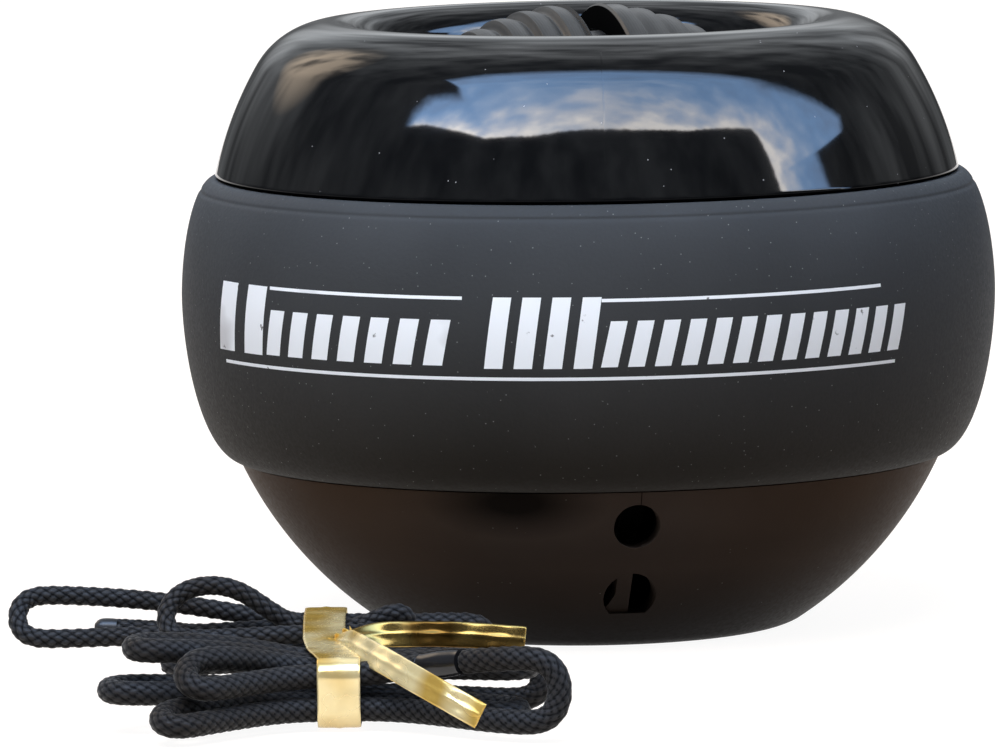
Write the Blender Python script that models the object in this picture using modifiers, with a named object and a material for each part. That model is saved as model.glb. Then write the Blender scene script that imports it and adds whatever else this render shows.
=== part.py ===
# Gyroscopic wrist ball with its starter cord and wrist strap, upright on its foot.
# Sizes are in millimetres here and turned into metres when a mesh is made.
import bpy
import bmesh
import math
from mathutils import Matrix, Vector

MM = 0.001
GAP = 0.3  # clearance between pieces that seat on each other
RING_STEPS = 36  # facets round a turned shell
ROTOR_STEPS = 28

# The band's greatest radius leads: the shells, the races and the rotor follow from it inwards.
BAND_R = 36.5
BOWL_R = BAND_R - 1.9
DOME_R = BOWL_R - 0.4

# shells
FOOT_CUT = 5.0  # what the flat foot takes off the bowl's sphere
BOWL_Z = BOWL_R - FOOT_CUT  # height of the bowl sphere's centre
DOME_Z = BOWL_Z + 3.7
FOOT_R = 15.4
FOOT_ROUND_R = FOOT_R + 3.5
DOME_WALL = 2.2
BOWL_WALL = 2.2
FLOOR_WALL = 2.0
SHOULDER_R = 7.9
RIM_Z = DOME_Z + DOME_R - 13.0  # the mouth's crest
RIM_R = math.sqrt((DOME_R - SHOULDER_R) ** 2 - (RIM_Z - SHOULDER_R - DOME_Z) ** 2)
THROAT_R = RIM_R - 3.3
THROAT_Z = RIM_Z - 5.3
LIP_WALL = 2.0
CHANNEL_DEPTH = 1.0
CHANNEL_R = DOME_R - CHANNEL_DEPTH  # floor of the band's channel
LAP = 2.0  # overlap of the two shells' tongues

# mechanism
EQUATOR_Z = BOWL_Z - 0.1
RACE_R = CHANNEL_R - 2.2
RACE_WALL = 0.8
RACE_INNER_R = RACE_R - 2.4
RACE_FACE = 2.4
TRACK_HEIGHT = 2.6
LEDGE_R = RACE_R - 1.2
LEDGE_HEIGHT = 1.3
CRADLE_WALL = 1.4
CRADLE_HEIGHT = 4.4
FLANGE_HEIGHT = 1.4
AXLE_D = 3.0
TIP_D = 2.0
AXLE_YAW = 12.7  # degrees from +X towards +Y

# rotor
ROTOR_R = RACE_INNER_R - 2.3
ROTOR_HALF = ROTOR_R - 1.4  # half length of the whole ellipsoid
ROTOR_END = ROTOR_HALF - 4.4
COVER_WALL = 2.2
GROOVE_WIDTH = 3.0
GROOVE_DEPTH = 2.4
RING_PITCH = 2.3
RING_DEPTH = 0.55
WEIGHT_WAIST = 9.0  # where the weight starts to taper
WEIGHT_TAPER = 14.0  # where it has tapered to its end face's cone
WEIGHT_END_SHARE = 0.42  # end face's radius, as a share of the rotor's
HUB_R = 4.0
HUB_END = ROTOR_HALF - 0.5
WASHER_R = 2.6
WASHER_THICK = 0.9
STRING_HOLE_D = 2.4
STRING_HOLE_DEPTH = 6.0

# grip band
BAND_PEAK_Z = BOWL_Z + 0.4
BAND_TOP_Z = DOME_Z + 7.3
BAND_FOOT_Z = BOWL_Z - 14.2
BAND_POWER = 1.8

# holes in the bowl
HOLE_AZIMUTH = 7.7  # degrees from the front towards +X
UPPER_HOLE_D = 4.05
UPPER_HOLE_Z = 12.1
STRAP_HOLE_D = 4.6
STRAP_HOLE_Z = 5.3
STRAP_HOLE_FLAT = 1.7  # flat lower edge below the hole's centre
STRAP_BAR = 1.4
STRAP_BAR_OFFSET = 0.6
CUT_DEPTH = 20.0  # through the wall and well clear of it

# cords, put up as two hanks on the floor in front of the ball
CORD_D = 1.7
STRAP_D = 2.1
LAY_GAP = 0.7  # between neighbouring runs of a hank, at its waist
COLUMNS = 4  # runs side by side, in two layers
RUN_POINTS = 8
BEND_POINTS = 4
WAIST_HALF = 3.0  # half of the stretch that the tie keeps drawn in
SPREAD_LENGTH = 14.0  # stretch beyond it in which the runs spread
LOOSENING = 0.12  # share by which the layers part once spread
RIGHT_DRIFT = 0.75  # share of a hank's turn that its right bends take
BEND_DEPTH = 0.85  # depth of a bend, in cord diameters
LOOSE_POINTS = 2  # how many points short of the first bend the starter cord's hidden end stays
CORD_TIP = 1.6
SLEEVE_D = 2.4
SLEEVE_LENGTH = 4.4

# Each hank's left bends swing left and its right bends right. A bend is (reach, lift of the
# run that comes to it, lift of the run that leaves it), in the order that the cord meets
# them: the bottom layer's, then back along the top layer.
STARTER = {
    "waist": (-22.9, -41.0), "base": 3.1, "splay": 1.25, "turn": 0.5,
    "bends": [(-42.4, 2.3, 0.0), (-11.0, 0.0, 0.0), (-36.5, 0.0, 0.0), (-13.0, 0.0, 0.2),
              (-36.6, -0.3, 3.1), (-15.6, 1.9, -0.5), (-49.6, -0.9, 2.6), (-8.7, -0.2, 0.0)],
}
STRAP = {
    "waist": (-21.2, -60.2), "base": 1.85, "splay": 1.65, "turn": 8.4,
    "bends": [(-40.6, 2.0, 2.0), (-6.0, 0.0, 0.0), (-36.0, 0.95, 0.0), (-2.6, 0.0, 2.4),
              (-34.0, -0.3, 2.0), (-5.0, 0.8, 0.8), (-38.5, 2.4, 2.4), (-4.0, 0.3, 0.0)],
}
ARCH_RUN = 5
ARCH = (-31.0, 3.8, 1.8)  # place, half length and height of the hump in that run of the starter cord
SLEEVE_X = -12.5

# twist tie round both hanks
TIE_WIDTH = 3.6
TIE_THICK = 0.3
TAIL_WIDTH = 2.0
TWIST_D = 2.0
TWIST_LENGTH = 4.2
TWIST_LEAN = 58  # degrees from upright towards +X
KNOT = (-21.9, -57.3, 6.45)
TAIL_UPPER = [(0, 0, 0), (2.0, 0.8, 0.3), (5.0, 1.7, 0.1), (9.0, 2.3, 0.2), (13.0, 2.5, 0.1), (16.6, 2.4, -0.1)]
TAIL_LOWER = [(0, 0, 0), (1.2, -4.5, 0.6), (2.4, -8.7, 0.5), (4.4, -14.2, 0.2),
              (6.7, -17.8, -0.7), (9.6, -20.6, -2.0), (12.4, -22.3, -3.4)]


def clear_scene():
    for item in list(bpy.data.objects):
        bpy.data.objects.remove(item)


def new_collection(name):
    group = bpy.data.collections.new(name)
    bpy.context.scene.collection.children.link(group)
    return group


def finish(name, colour, roughness, metallic=0.0):
    material = bpy.data.materials.new(name)
    material.use_nodes = True
    shader = material.node_tree.nodes["Principled BSDF"]
    shader.inputs["Base Color"].default_value = (*colour, 1.0)
    shader.inputs["Roughness"].default_value = roughness
    shader.inputs["Metallic"].default_value = metallic
    return material


def arc(centre, radius, start, end, count):
    """Points of an arc in the profile plane, angles in degrees from the outward radius."""
    points = []
    for i in range(count + 1):
        angle = math.radians(start + (end - start) * i / count)
        points.append((centre[0] + radius * math.cos(angle), centre[1] + radius * math.sin(angle)))
    return points


def sphere_side(radius, centre_z, start_z, end_z, count):
    """Points of a sphere's side, seen as a profile, between two heights."""
    start = math.degrees(math.asin((start_z - centre_z) / radius))
    end = math.degrees(math.asin((end_z - centre_z) / radius))
    return arc((0.0, centre_z), radius, start, end, count)


def sphere_r(radius, centre_z, z):
    return math.sqrt(radius ** 2 - (z - centre_z) ** 2)


def sphere_z(radius, centre_z, r):
    """Height where the upper half of a sphere has the given radius."""
    return centre_z + math.sqrt(radius ** 2 - r ** 2)


def turned(group, name, profile, material, closed, steps=RING_STEPS):
    """A profile of (radius, height) points, top to bottom on its outer side, turned about Z."""
    mesh = bpy.data.meshes.new(name)
    points = [(r * MM, 0.0, z * MM) for r, z in profile]
    edges = [(i, i + 1) for i in range(len(points) - 1)]
    if closed:
        edges.append((len(points) - 1, 0))
    mesh.from_pydata(points, edges, [])
    item = bpy.data.objects.new(name, mesh)
    group.objects.link(item)
    screw = item.modifiers.new("Turn", "SCREW")
    screw.steps = steps
    screw.render_steps = steps
    screw.use_merge_vertices = True
    screw.merge_threshold = 0.00001
    screw.use_smooth_shade = True
    mesh.materials.append(material)
    return item


def mirrored(profile, middle=0.0):
    """The same profile turned upside down about a height, still top to bottom outside."""
    return [(r, 2 * middle - z) for r, z in reversed(profile)]


def cutter(group, item):
    for owner in list(item.users_collection):
        owner.objects.unlink(item)
    group.objects.link(item)
    item.hide_render = True
    item.display_type = "WIRE"
    return item


def rod_cutter(group, name, diameter, length, matrix, sides=24):
    mesh = bpy.data.meshes.new(name)
    shape = bmesh.new()
    bmesh.ops.create_cone(shape, cap_ends=True, segments=sides, radius1=diameter * MM / 2,
                          radius2=diameter * MM / 2, depth=length * MM)
    shape.to_mesh(mesh)
    shape.free()
    item = bpy.data.objects.new(name, mesh)
    item.matrix_world = matrix
    return cutter(group, item)


def box_cutter(group, name, size, matrix):
    mesh = bpy.data.meshes.new(name)
    shape = bmesh.new()
    bmesh.ops.create_cube(shape, size=1.0)
    bmesh.ops.scale(shape, vec=[side * MM for side in size], verts=shape.verts)
    shape.to_mesh(mesh)
    shape.free()
    item = bpy.data.objects.new(name, mesh)
    item.matrix_world = matrix
    return cutter(group, item)


def cut(item, tool):
    step = item.modifiers.new("Cut " + tool.name, "BOOLEAN")
    step.operation = "DIFFERENCE"
    step.object = tool


def place(x, y, z, turn=None):
    matrix = Matrix.Translation(Vector((x, y, z)) * MM)
    if turn is not None:
        matrix = matrix @ turn
    return matrix


def build_upper_shell(group):
    wall_r = DOME_R - DOME_WALL
    inner_r = RACE_R + GAP
    shoulder_z = RIM_Z - SHOULDER_R
    lip_r = RIM_R - THROAT_R
    lip_z = RIM_Z - lip_r
    tilt = math.degrees(math.asin((shoulder_z - DOME_Z) / (DOME_R - SHOULDER_R)))
    seat_z = EQUATOR_Z + TRACK_HEIGHT / 2 + RACE_FACE + GAP
    join_z = EQUATOR_Z + GAP / 2
    channel_top = BAND_TOP_Z + GAP
    tongue = (CHANNEL_R - inner_r - GAP) / 2
    profile = arc((RIM_R, lip_z), lip_r, 180, 90, 3)
    profile += arc((RIM_R, shoulder_z), SHOULDER_R, 90, tilt, 5)[1:]
    top_z = DOME_Z + DOME_R * math.sin(math.radians(tilt))
    profile += sphere_side(DOME_R, DOME_Z, top_z, channel_top, 4)[1:]
    profile += sphere_side(DOME_R - CHANNEL_DEPTH, DOME_Z, channel_top, DOME_Z, 3)
    profile += [(CHANNEL_R, join_z), (CHANNEL_R - tongue, join_z)]
    profile += [(inner_r + tongue, join_z - LAP), (inner_r, join_z - LAP)]
    profile += [(inner_r, seat_z), (LEDGE_R, seat_z), (LEDGE_R, seat_z + LEDGE_HEIGHT)]
    profile += [(inner_r, seat_z + LEDGE_HEIGHT + inner_r - LEDGE_R)]
    profile += sphere_side(wall_r, DOME_Z, sphere_z(wall_r, DOME_Z, inner_r), top_z - 1.0, 3)
    profile += arc((RIM_R, shoulder_z), SHOULDER_R - DOME_WALL, tilt + 8, 90, 3)
    profile += arc((RIM_R, lip_z), lip_r - LIP_WALL, 90, 180, 2)[1:]
    profile += [(THROAT_R + LIP_WALL, THROAT_Z + 0.4), (THROAT_R + LIP_WALL / 2, THROAT_Z)]
    profile += [(THROAT_R, THROAT_Z + 0.4)]
    gloss = finish("upper_shell", (0.012, 0.012, 0.014), 0.12)
    return turned(group, "upper_shell", profile, gloss, True)


def build_lower_shell(group, cutters):
    wall_r = BOWL_R - BOWL_WALL
    inner_r = RACE_R + GAP
    seat_z = EQUATOR_Z - TRACK_HEIGHT / 2 - RACE_FACE - GAP
    join_z = EQUATOR_Z - GAP / 2
    shelf_z = join_z - LAP
    channel_foot = BAND_FOOT_Z - GAP
    tongue = (CHANNEL_R - inner_r - GAP) / 2
    floor_r = sphere_r(wall_r, BOWL_Z, FLOOR_WALL)
    wall_end = 2 * BOWL_Z - sphere_z(wall_r, BOWL_Z, inner_r)
    profile = [(0, FLOOR_WALL), (floor_r, FLOOR_WALL)]
    profile += sphere_side(wall_r, BOWL_Z, FLOOR_WALL, wall_end, 5)[1:]
    profile += [(inner_r, seat_z - LEDGE_HEIGHT - inner_r + LEDGE_R)]
    profile += [(LEDGE_R, seat_z - LEDGE_HEIGHT), (LEDGE_R, seat_z), (inner_r, seat_z)]
    profile += [(inner_r, shelf_z), (inner_r + tongue + GAP, shelf_z)]
    profile += [(inner_r + tongue + GAP, join_z), (CHANNEL_R, join_z)]
    channel_start = 2 * BOWL_Z - sphere_z(BOWL_R - CHANNEL_DEPTH, BOWL_Z, CHANNEL_R)
    profile += sphere_side(BOWL_R - CHANNEL_DEPTH, BOWL_Z, channel_start, channel_foot, 3)
    round_top = 2 * BOWL_Z - sphere_z(BOWL_R, BOWL_Z, FOOT_ROUND_R)
    profile += sphere_side(BOWL_R, BOWL_Z, channel_foot, round_top, 7)
    profile += [(FOOT_R + 2.3, round_top * 0.35), (FOOT_R + 1.2, 0.1), (FOOT_R, 0), (0, 0)]
    satin = finish("lower_shell", (0.022, 0.019, 0.018), 0.38)
    shell = turned(group, "lower_shell", profile, satin, False)
    for tool in strap_holes(cutters):
        cut(shell, tool)
    return shell


def strap_holes(cutters):
    """The round hole, and the strap hole that keeps a bar of the wall across it."""
    turn = Matrix.Rotation(math.radians(HOLE_AZIMUTH), 4, "Z")
    lying = turn @ Matrix.Rotation(math.radians(90), 4, "X")
    tools = []
    for name, size, height in (("upper_hole", UPPER_HOLE_D, UPPER_HOLE_Z),
                               ("strap_hole", STRAP_HOLE_D, STRAP_HOLE_Z)):
        middle = turn @ Vector((0, -sphere_r(BOWL_R, BOWL_Z, height), 0))
        tools.append(rod_cutter(cutters, name, size, 9.0, place(middle.x, middle.y, height, lying)))
    middle = turn @ Vector((-STRAP_BAR_OFFSET, -sphere_r(BOWL_R, BOWL_Z, STRAP_HOLE_Z), 0))
    bar = box_cutter(cutters, "strap_bar", (STRAP_BAR, CUT_DEPTH, 2 * STRAP_HOLE_D),
                     place(middle.x, middle.y, STRAP_HOLE_Z, turn))
    below = box_cutter(cutters, "strap_hole_flat", (CUT_DEPTH, CUT_DEPTH, STRAP_HOLE_D),
                       place(middle.x, middle.y, STRAP_HOLE_Z - STRAP_HOLE_FLAT - STRAP_HOLE_D / 2, turn))
    cut(tools[1], bar)
    cut(tools[1], below)
    return tools


def band_outside(start_z, end_z, drop, count):
    """A quarter of a superellipse from the band's greatest radius to its edge."""
    points = []
    for i in range(count + 1):
        share = math.sin(math.pi / 2 * i / count)
        fall = drop * (1 - math.sqrt(max(0.0, 1 - share ** BAND_POWER)))
        points.append((BAND_R - fall, start_z + (end_z - start_z) * share))
    return points


def build_grip_band(group):
    top_drop = BAND_R - sphere_r(DOME_R, DOME_Z, BAND_TOP_Z)
    foot_drop = BAND_R - sphere_r(BOWL_R, BOWL_Z, BAND_FOOT_Z)
    top = band_outside(BAND_PEAK_Z, BAND_TOP_Z, top_drop, 7)
    foot = band_outside(BAND_PEAK_Z, BAND_FOOT_Z, foot_drop, 9)
    dome_r = DOME_R - CHANNEL_DEPTH + GAP
    bowl_r = BOWL_R - CHANNEL_DEPTH + GAP
    bowl_start = 2 * BOWL_Z - sphere_z(bowl_r, BOWL_Z, CHANNEL_R + GAP)
    profile = list(reversed(top)) + foot[1:]
    profile += list(reversed(sphere_side(bowl_r, BOWL_Z, bowl_start, BAND_FOOT_Z, 4)))
    profile += list(reversed(sphere_side(dome_r, DOME_Z, BAND_TOP_Z, DOME_Z, 3)))
    rubber = finish("grip_band", (0.028, 0.028, 0.03), 0.62)
    return turned(group, "grip_band", profile, rubber, True)


def build_races(group):
    wall_r = RACE_R - RACE_WALL
    face_z = EQUATOR_Z + TRACK_HEIGHT / 2
    back_z = face_z + RACE_FACE
    upper = [(RACE_INNER_R, back_z), (RACE_R, back_z), (RACE_R, EQUATOR_Z + GAP / 2)]
    upper += [(wall_r, EQUATOR_Z + GAP / 2), (wall_r, face_z), (RACE_INNER_R, face_z)]
    acetal = finish("race", (0.55, 0.54, 0.5), 0.35)
    turned(group, "race_upper", upper, acetal, True)
    turned(group, "race_lower", mirrored(upper, EQUATOR_Z), acetal, True)


def build_cradle_ring(group, cutters, pivot):
    outer = RACE_INNER_R - GAP
    inner = outer - CRADLE_WALL
    flange = RACE_R - RACE_WALL - 2 * GAP
    half = CRADLE_HEIGHT / 2
    lip = FLANGE_HEIGHT / 2
    profile = [(inner, half), (outer, half), (outer, lip), (flange, lip), (flange, -lip)]
    profile += [(outer, -lip), (outer, -half), (inner, -half)]
    nylon = finish("cradle_ring", (0.6, 0.6, 0.58), 0.4)
    ring = turned(group, "cradle_ring", profile, nylon, True)
    ring.parent = pivot
    size = TIP_D + 2 * GAP
    cut(ring, rod_cutter(cutters, "tip_holes", size, 4 * ROTOR_R, place(0, 0, EQUATOR_Z, axle_turn()), 16))
    return ring


def axle_turn():
    """Turns an upright shape onto the axle."""
    yaw = Matrix.Rotation(math.radians(AXLE_YAW), 4, "Z")
    return yaw @ Matrix.Rotation(math.radians(90), 4, "Y")


def build_axle(group, pivot):
    end = RACE_R - RACE_WALL - GAP
    neck = RACE_INNER_R - GAP - CRADLE_WALL - GAP
    tip = TIP_D / 2
    half = [(0, end), (tip * 0.7, end), (tip, end - 0.4), (tip, neck), (AXLE_D / 2, neck)]
    steel = finish("axle", (0.6, 0.6, 0.62), 0.25, 1.0)
    axle = turned(group, "axle", half + mirrored(half), steel, False, 16)
    axle.parent = pivot
    neck_face = neck - GAP
    bore = AXLE_D / 2 + GAP
    washer = [(bore, neck_face), (WASHER_R, neck_face)]
    washer += [(WASHER_R, neck_face - WASHER_THICK), (bore, neck_face - WASHER_THICK)]
    nylon = finish("axle_washer", (0.7, 0.7, 0.68), 0.4)
    for name, side in (("axle_washer_right", washer), ("axle_washer_left", mirrored(washer))):
        turned(group, name, side, nylon, True, 20).parent = pivot


def ellipsoid_r(along):
    return ROTOR_R * math.sqrt(1 - (along / ROTOR_HALF) ** 2)


def cover_outside(start):
    """Stepped rings: each swells from a notch to a crest that lies on the ellipsoid."""
    points = [(ellipsoid_r(start) - 0.3, start), (ellipsoid_r(start + 0.4), start + 0.4)]
    rings = int((ROTOR_END - start) / RING_PITCH)
    for ring in range(rings):
        notch = start + RING_PITCH * (ring + 1)
        lean = RING_DEPTH * (1 + 0.12 * ring)
        points.append((ellipsoid_r(notch - 0.4), notch - 0.4))
        points.append((ellipsoid_r(notch) - lean, notch))
    points.append((ellipsoid_r(ROTOR_END), ROTOR_END))
    return points


def build_rotor(group, cutters, pivot):
    start = GROOVE_WIDTH / 2
    rim_r = ROTOR_R - COVER_WALL - 2 * GAP
    floor_r = ROTOR_R - GROOVE_DEPTH
    bore = AXLE_D / 2 + GAP
    back = ROTOR_END - 1.8 - COVER_WALL
    taper_r = ellipsoid_r(WEIGHT_TAPER) - COVER_WALL - 2.0
    rear_r = WEIGHT_END_SHARE * ROTOR_R
    half = [(bore, back), (rear_r, back), (taper_r, WEIGHT_TAPER), (rim_r - 0.8, WEIGHT_WAIST)]
    half += [(rim_r - 0.8, start - GAP), (floor_r, start - GAP)]
    weight = finish("rotor_core", (0.11, 0.11, 0.115), 0.35, 1.0)
    core = turned(group, "rotor_core", half + mirrored(half), weight, True, ROTOR_STEPS)
    core.parent = pivot
    hole = place(0, 0, EQUATOR_Z + floor_r - STRING_HOLE_DEPTH / 2 + 1.0)
    cut(core, rod_cutter(cutters, "string_hole", STRING_HOLE_D, STRING_HOLE_DEPTH + 2.0, hole, 12))
    dish = ROTOR_END - 1.2
    mouth_r = ellipsoid_r(ROTOR_END)
    outside = list(reversed(cover_outside(start)))
    cover = [(bore, HUB_END), (HUB_R - 0.4, HUB_END), (HUB_R, HUB_END - 0.4), (HUB_R + 0.8, dish)]
    cover += [(mouth_r - 3.0, dish), (mouth_r - 1.8, ROTOR_END)] + outside
    cover += [(rim_r - 0.8 + GAP, start), (rim_r - 0.8 + GAP, WEIGHT_WAIST + 0.1)]
    cover += [(taper_r + 0.2, WEIGHT_TAPER + GAP)]
    cover += [(rear_r + 0.1, back + GAP), (bore, back + GAP)]
    plastic = finish("rotor_cover", (0.16, 0.16, 0.165), 0.4)
    turned(group, "rotor_cover_right", cover, plastic, True, ROTOR_STEPS).parent = pivot
    turned(group, "rotor_cover_left", mirrored(cover), plastic, True, ROTOR_STEPS).parent = pivot


def slots(hank, diameter):
    """The (across, height) of each run at the waist, in the order that the cord takes them."""
    pitch = diameter + LAY_GAP
    back = hank["waist"][1]
    bottom = [(back - pitch * column, hank["base"]) for column in range(COLUMNS)]
    return bottom + [(across, height + pitch) for across, height in reversed(bottom)]


def ease(share):
    share = min(1.0, max(0.0, share))
    return share * share * (3 - 2 * share)


def run_point(hank, slot, middle, x, bend):
    """A point of a run: drawn in at the waist and spread beyond it, with a lift that grows
    from the waist to the bend as a parabola whose crest is the bend."""
    reach, lift = bend
    short = abs(x - reach) / (abs(reach - hank["waist"][0]) - WAIST_HALF)
    rise = 1 - min(1.0, short) ** 2
    spread = ease((abs(x - hank["waist"][0]) - WAIST_HALF) / SPREAD_LENGTH)
    wide = 1 + (hank["splay"] - 1) * spread
    drift = hank["turn"] * spread
    if x > hank["waist"][0]:
        drift *= RIGHT_DRIFT
    across = middle[0] + (slot[0] - middle[0]) * wide - drift
    height = slot[1] + (slot[1] - middle[1]) * LOOSENING * spread + lift * rise
    return Vector((x, across, height))


def hank_route(hank, diameter):
    """The closed round of runs and bends, as one list of points for each run and bend."""
    runs = slots(hank, diameter)
    middle = (sum(slot[0] for slot in runs) / len(runs), sum(slot[1] for slot in runs) / len(runs))
    pieces = []
    for i, slot in enumerate(runs):
        after = runs[(i + 1) % len(runs)]
        before = hank["bends"][i - 1]
        bend_here = hank["bends"][i]
        side = -1 if i % 2 == 0 else 1
        half = diameter * BEND_DEPTH
        start_x = before[0] + side * half
        end_x = bend_here[0] - side * half
        run = []
        for k in range(RUN_POINTS):
            x = start_x + (end_x - start_x) * k / (RUN_POINTS - 1)
            ahead = (x - hank["waist"][0]) * side > 0
            nearest = (bend_here[0], bend_here[1]) if ahead else (before[0], before[2])
            run.append(run_point(hank, slot, middle, x, nearest))
        pieces.append(run)
        first = run[-1]
        last = run_point(hank, after, middle, end_x, (bend_here[0], bend_here[2]))
        centre = (first + last) / 2
        arm = (first - last) / 2
        bend = []
        for k in range(1, BEND_POINTS + 1):
            angle = math.pi * k / (BEND_POINTS + 1)
            bend.append(centre + arm * math.cos(angle) + Vector((side * half * math.sin(angle), 0, 0)))
        pieces.append(bend)
    return pieces


def least_gap(name, points, diameter):
    """Least gap between stretches of one cord that aren't neighbours along it."""
    fine = []
    for first, second in zip(points, points[1:]):
        fine += [first.lerp(second, k / 4) for k in range(4)]
    fine.append(points[-1])
    walked = [0.0]
    for first, second in zip(fine, fine[1:]):
        walked.append(walked[-1] + (second - first).length)
    least = 1000.0
    for i, point in enumerate(fine):
        for k in range(i + 1, len(fine)):
            if walked[k] - walked[i] > 2.2 * diameter:
                least = min(least, (fine[k] - point).length)
    print(name, "length", round(walked[-1], 1), "mm, least gap to itself", round(least - diameter, 2))


def tube(group, name, points, diameter, material, resolution=1):
    curve = bpy.data.curves.new(name, "CURVE")
    curve.dimensions = "3D"
    curve.bevel_depth = diameter / 2 * MM
    curve.bevel_resolution = resolution
    curve.use_fill_caps = True
    line = curve.splines.new("POLY")
    line.points.add(len(points) - 1)
    for spot, point in zip(line.points, points):
        spot.co = (*(point * MM), 1.0)
    curve.materials.append(material)
    item = bpy.data.objects.new(name, curve)
    group.objects.link(item)
    return item


def build_starter_cord(group):
    """Open at the first bend, where one end sticks out past the hank."""
    pieces = hank_route(STARTER, CORD_D)
    hump_x, hump_half, hump_height = ARCH
    for point in pieces[2 * ARCH_RUN]:
        point.z += hump_height * math.exp(-((point.x - hump_x) / hump_half) ** 2)
    order = [pieces[2][LOOSE_POINTS:]] + pieces[3:] + pieces[:1]
    points = [point for piece in order for point in piece]
    black = finish("starter_cord", (0.02, 0.022, 0.028), 0.6)
    tube(group, "starter_cord_hank", points, CORD_D, black)
    least_gap("starter_cord", points, CORD_D)
    tail = (points[-1] - points[-2]).normalized()
    tip = [points[-1] + tail * GAP, points[-1] + tail * (GAP + CORD_TIP)]
    tube(group, "starter_cord_tip", tip, CORD_D, finish("starter_cord_tip", (0.03, 0.03, 0.03), 0.4))


def build_wrist_strap(group):
    """A closed round whose two ends meet in the sleeve, on the front run of the top layer."""
    pieces = hank_route(STRAP, STRAP_D)
    sleeve_run = pieces[2 * COLUMNS]
    half = SLEEVE_LENGTH / 2
    left = [point for point in sleeve_run if point.x < SLEEVE_X - half - GAP - 1.0]
    right = [point for point in sleeve_run if point.x > SLEEVE_X + half + GAP + 1.0]
    base = right[-1].lerp(left[0], 0.5)
    axis = (left[0] - right[-1]).normalized()
    black = finish("wrist_strap", (0.018, 0.019, 0.023), 0.6)
    middle = base + axis * (axis.dot(Vector((SLEEVE_X, base.y, base.z)) - base))
    order = pieces[2 * COLUMNS + 1:] + pieces[:2 * COLUMNS]
    points = [middle + axis * (half + GAP)] + left
    points += [point for piece in order for point in piece]
    points += right + [middle - axis * (half + GAP)]
    tube(group, "wrist_strap_hank", points, STRAP_D, black)
    least_gap("wrist_strap", points, STRAP_D)
    sleeve = [middle - axis * half, middle + axis * half]
    tube(group, "strap_sleeve", sleeve, SLEEVE_D, finish("strap_sleeve", (0.015, 0.015, 0.018), 0.2), 2)


def strip(group, name, middles, across, width, material, closed):
    """A foil strip: points along its middle, each with the direction of its width."""
    mesh = bpy.data.meshes.new(name)
    shape = bmesh.new()
    pairs = []
    for middle, way in zip(middles, across):
        side = way.normalized() * width / 2
        pairs.append((shape.verts.new((middle - side) * MM), shape.verts.new((middle + side) * MM)))
    count = len(pairs) if closed else len(pairs) - 1
    for i in range(count):
        first = pairs[i]
        second = pairs[(i + 1) % len(pairs)]
        shape.faces.new((first[0], first[1], second[1], second[0]))
    shape.to_mesh(mesh)
    shape.free()
    mesh.materials.append(material)
    item = bpy.data.objects.new(name, mesh)
    group.objects.link(item)
    wall = item.modifiers.new("Thickness", "SOLIDIFY")
    wall.thickness = TIE_THICK * MM
    wall.offset = 0.0
    wall.use_even_offset = True
    return item


def tie_path():
    """Round both hanks at their waists: arcs about the outer runs, GAP away from them."""
    reach = GAP + TIE_THICK / 2
    starter = slots(STARTER, CORD_D)
    strap = slots(STRAP, STRAP_D)
    rear = (STARTER["waist"][0], CORD_D / 2 + reach)
    front = (STRAP["waist"][0], STRAP_D / 2 + reach)
    corners = [(strap[COLUMNS], front, 180, 90, 3), (strap[-1], front, 90, 90, 0),
               (starter[COLUMNS], rear, 93, 90, 0), (starter[-1], rear, 90, 0, 3),
               (starter[0], rear, 0, -85, 3), (strap[0], front, -85, -90, 1),
               (strap[COLUMNS - 1], front, 270, 180, 3)]
    path = []
    for centre, (x, radius), start, end, count in corners:
        turn = arc(centre, radius, start, end, max(count, 1))[:count + 1]
        path += [Vector((x, y, z)) for y, z in turn]
    return path


def build_twist_tie(group, cutters):
    gold = finish("twist_tie", (0.75, 0.5, 0.16), 0.25, 1.0)
    path = tie_path()
    across = Vector((1, 0, 0))
    band = strip(group, "twist_tie", path, [across] * len(path), TIE_WIDTH, gold, True)
    knot = Vector(KNOT)
    lean = Matrix.Rotation(math.radians(TWIST_LEAN), 4, "Y")
    twist = rod_cutter(cutters, "twist", TWIST_D, TWIST_LENGTH, place(*knot, lean), 8)
    upper = [knot + Vector(step) for step in TAIL_UPPER]
    lower = [knot + Vector(step) for step in TAIL_LOWER]
    leaning = [Vector((0, 1, 0.5))] * len(upper)
    facing = [Vector((0.45, 0.1, 0.9))] * len(lower)
    tails = [strip(cutters, "tail_upper", upper, leaning, TAIL_WIDTH, gold, False),
             strip(cutters, "tail_lower", lower, facing, TAIL_WIDTH, gold, False)]
    for tool in [twist] + [cutter(cutters, tail) for tail in tails]:
        step = band.modifiers.new("Join " + tool.name, "BOOLEAN")
        step.operation = "UNION"
        step.object = tool
    return band


def new_pivot(group, name, turn=None):
    pivot = bpy.data.objects.new(name, None)
    pivot.matrix_world = place(0, 0, EQUATOR_Z, turn)
    group.objects.link(pivot)
    return pivot


def main():
    clear_scene()
    ball = new_collection("gyroscopic_wrist_ball")
    cutters = new_collection("cutters")
    build_upper_shell(ball)
    build_lower_shell(ball, cutters)
    build_grip_band(ball)
    build_races(ball)
    build_cradle_ring(ball, cutters, new_pivot(ball, "cradle_pivot"))
    rotor_pivot = new_pivot(ball, "rotor_pivot", axle_turn())
    build_axle(ball, rotor_pivot)
    build_rotor(ball, cutters, rotor_pivot)
    build_starter_cord(ball)
    build_wrist_strap(ball)
    build_twist_tie(ball, cutters)


main()
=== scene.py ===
import math
import bmesh
import bpy
import numpy as np
from mathutils import Matrix, Vector


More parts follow.
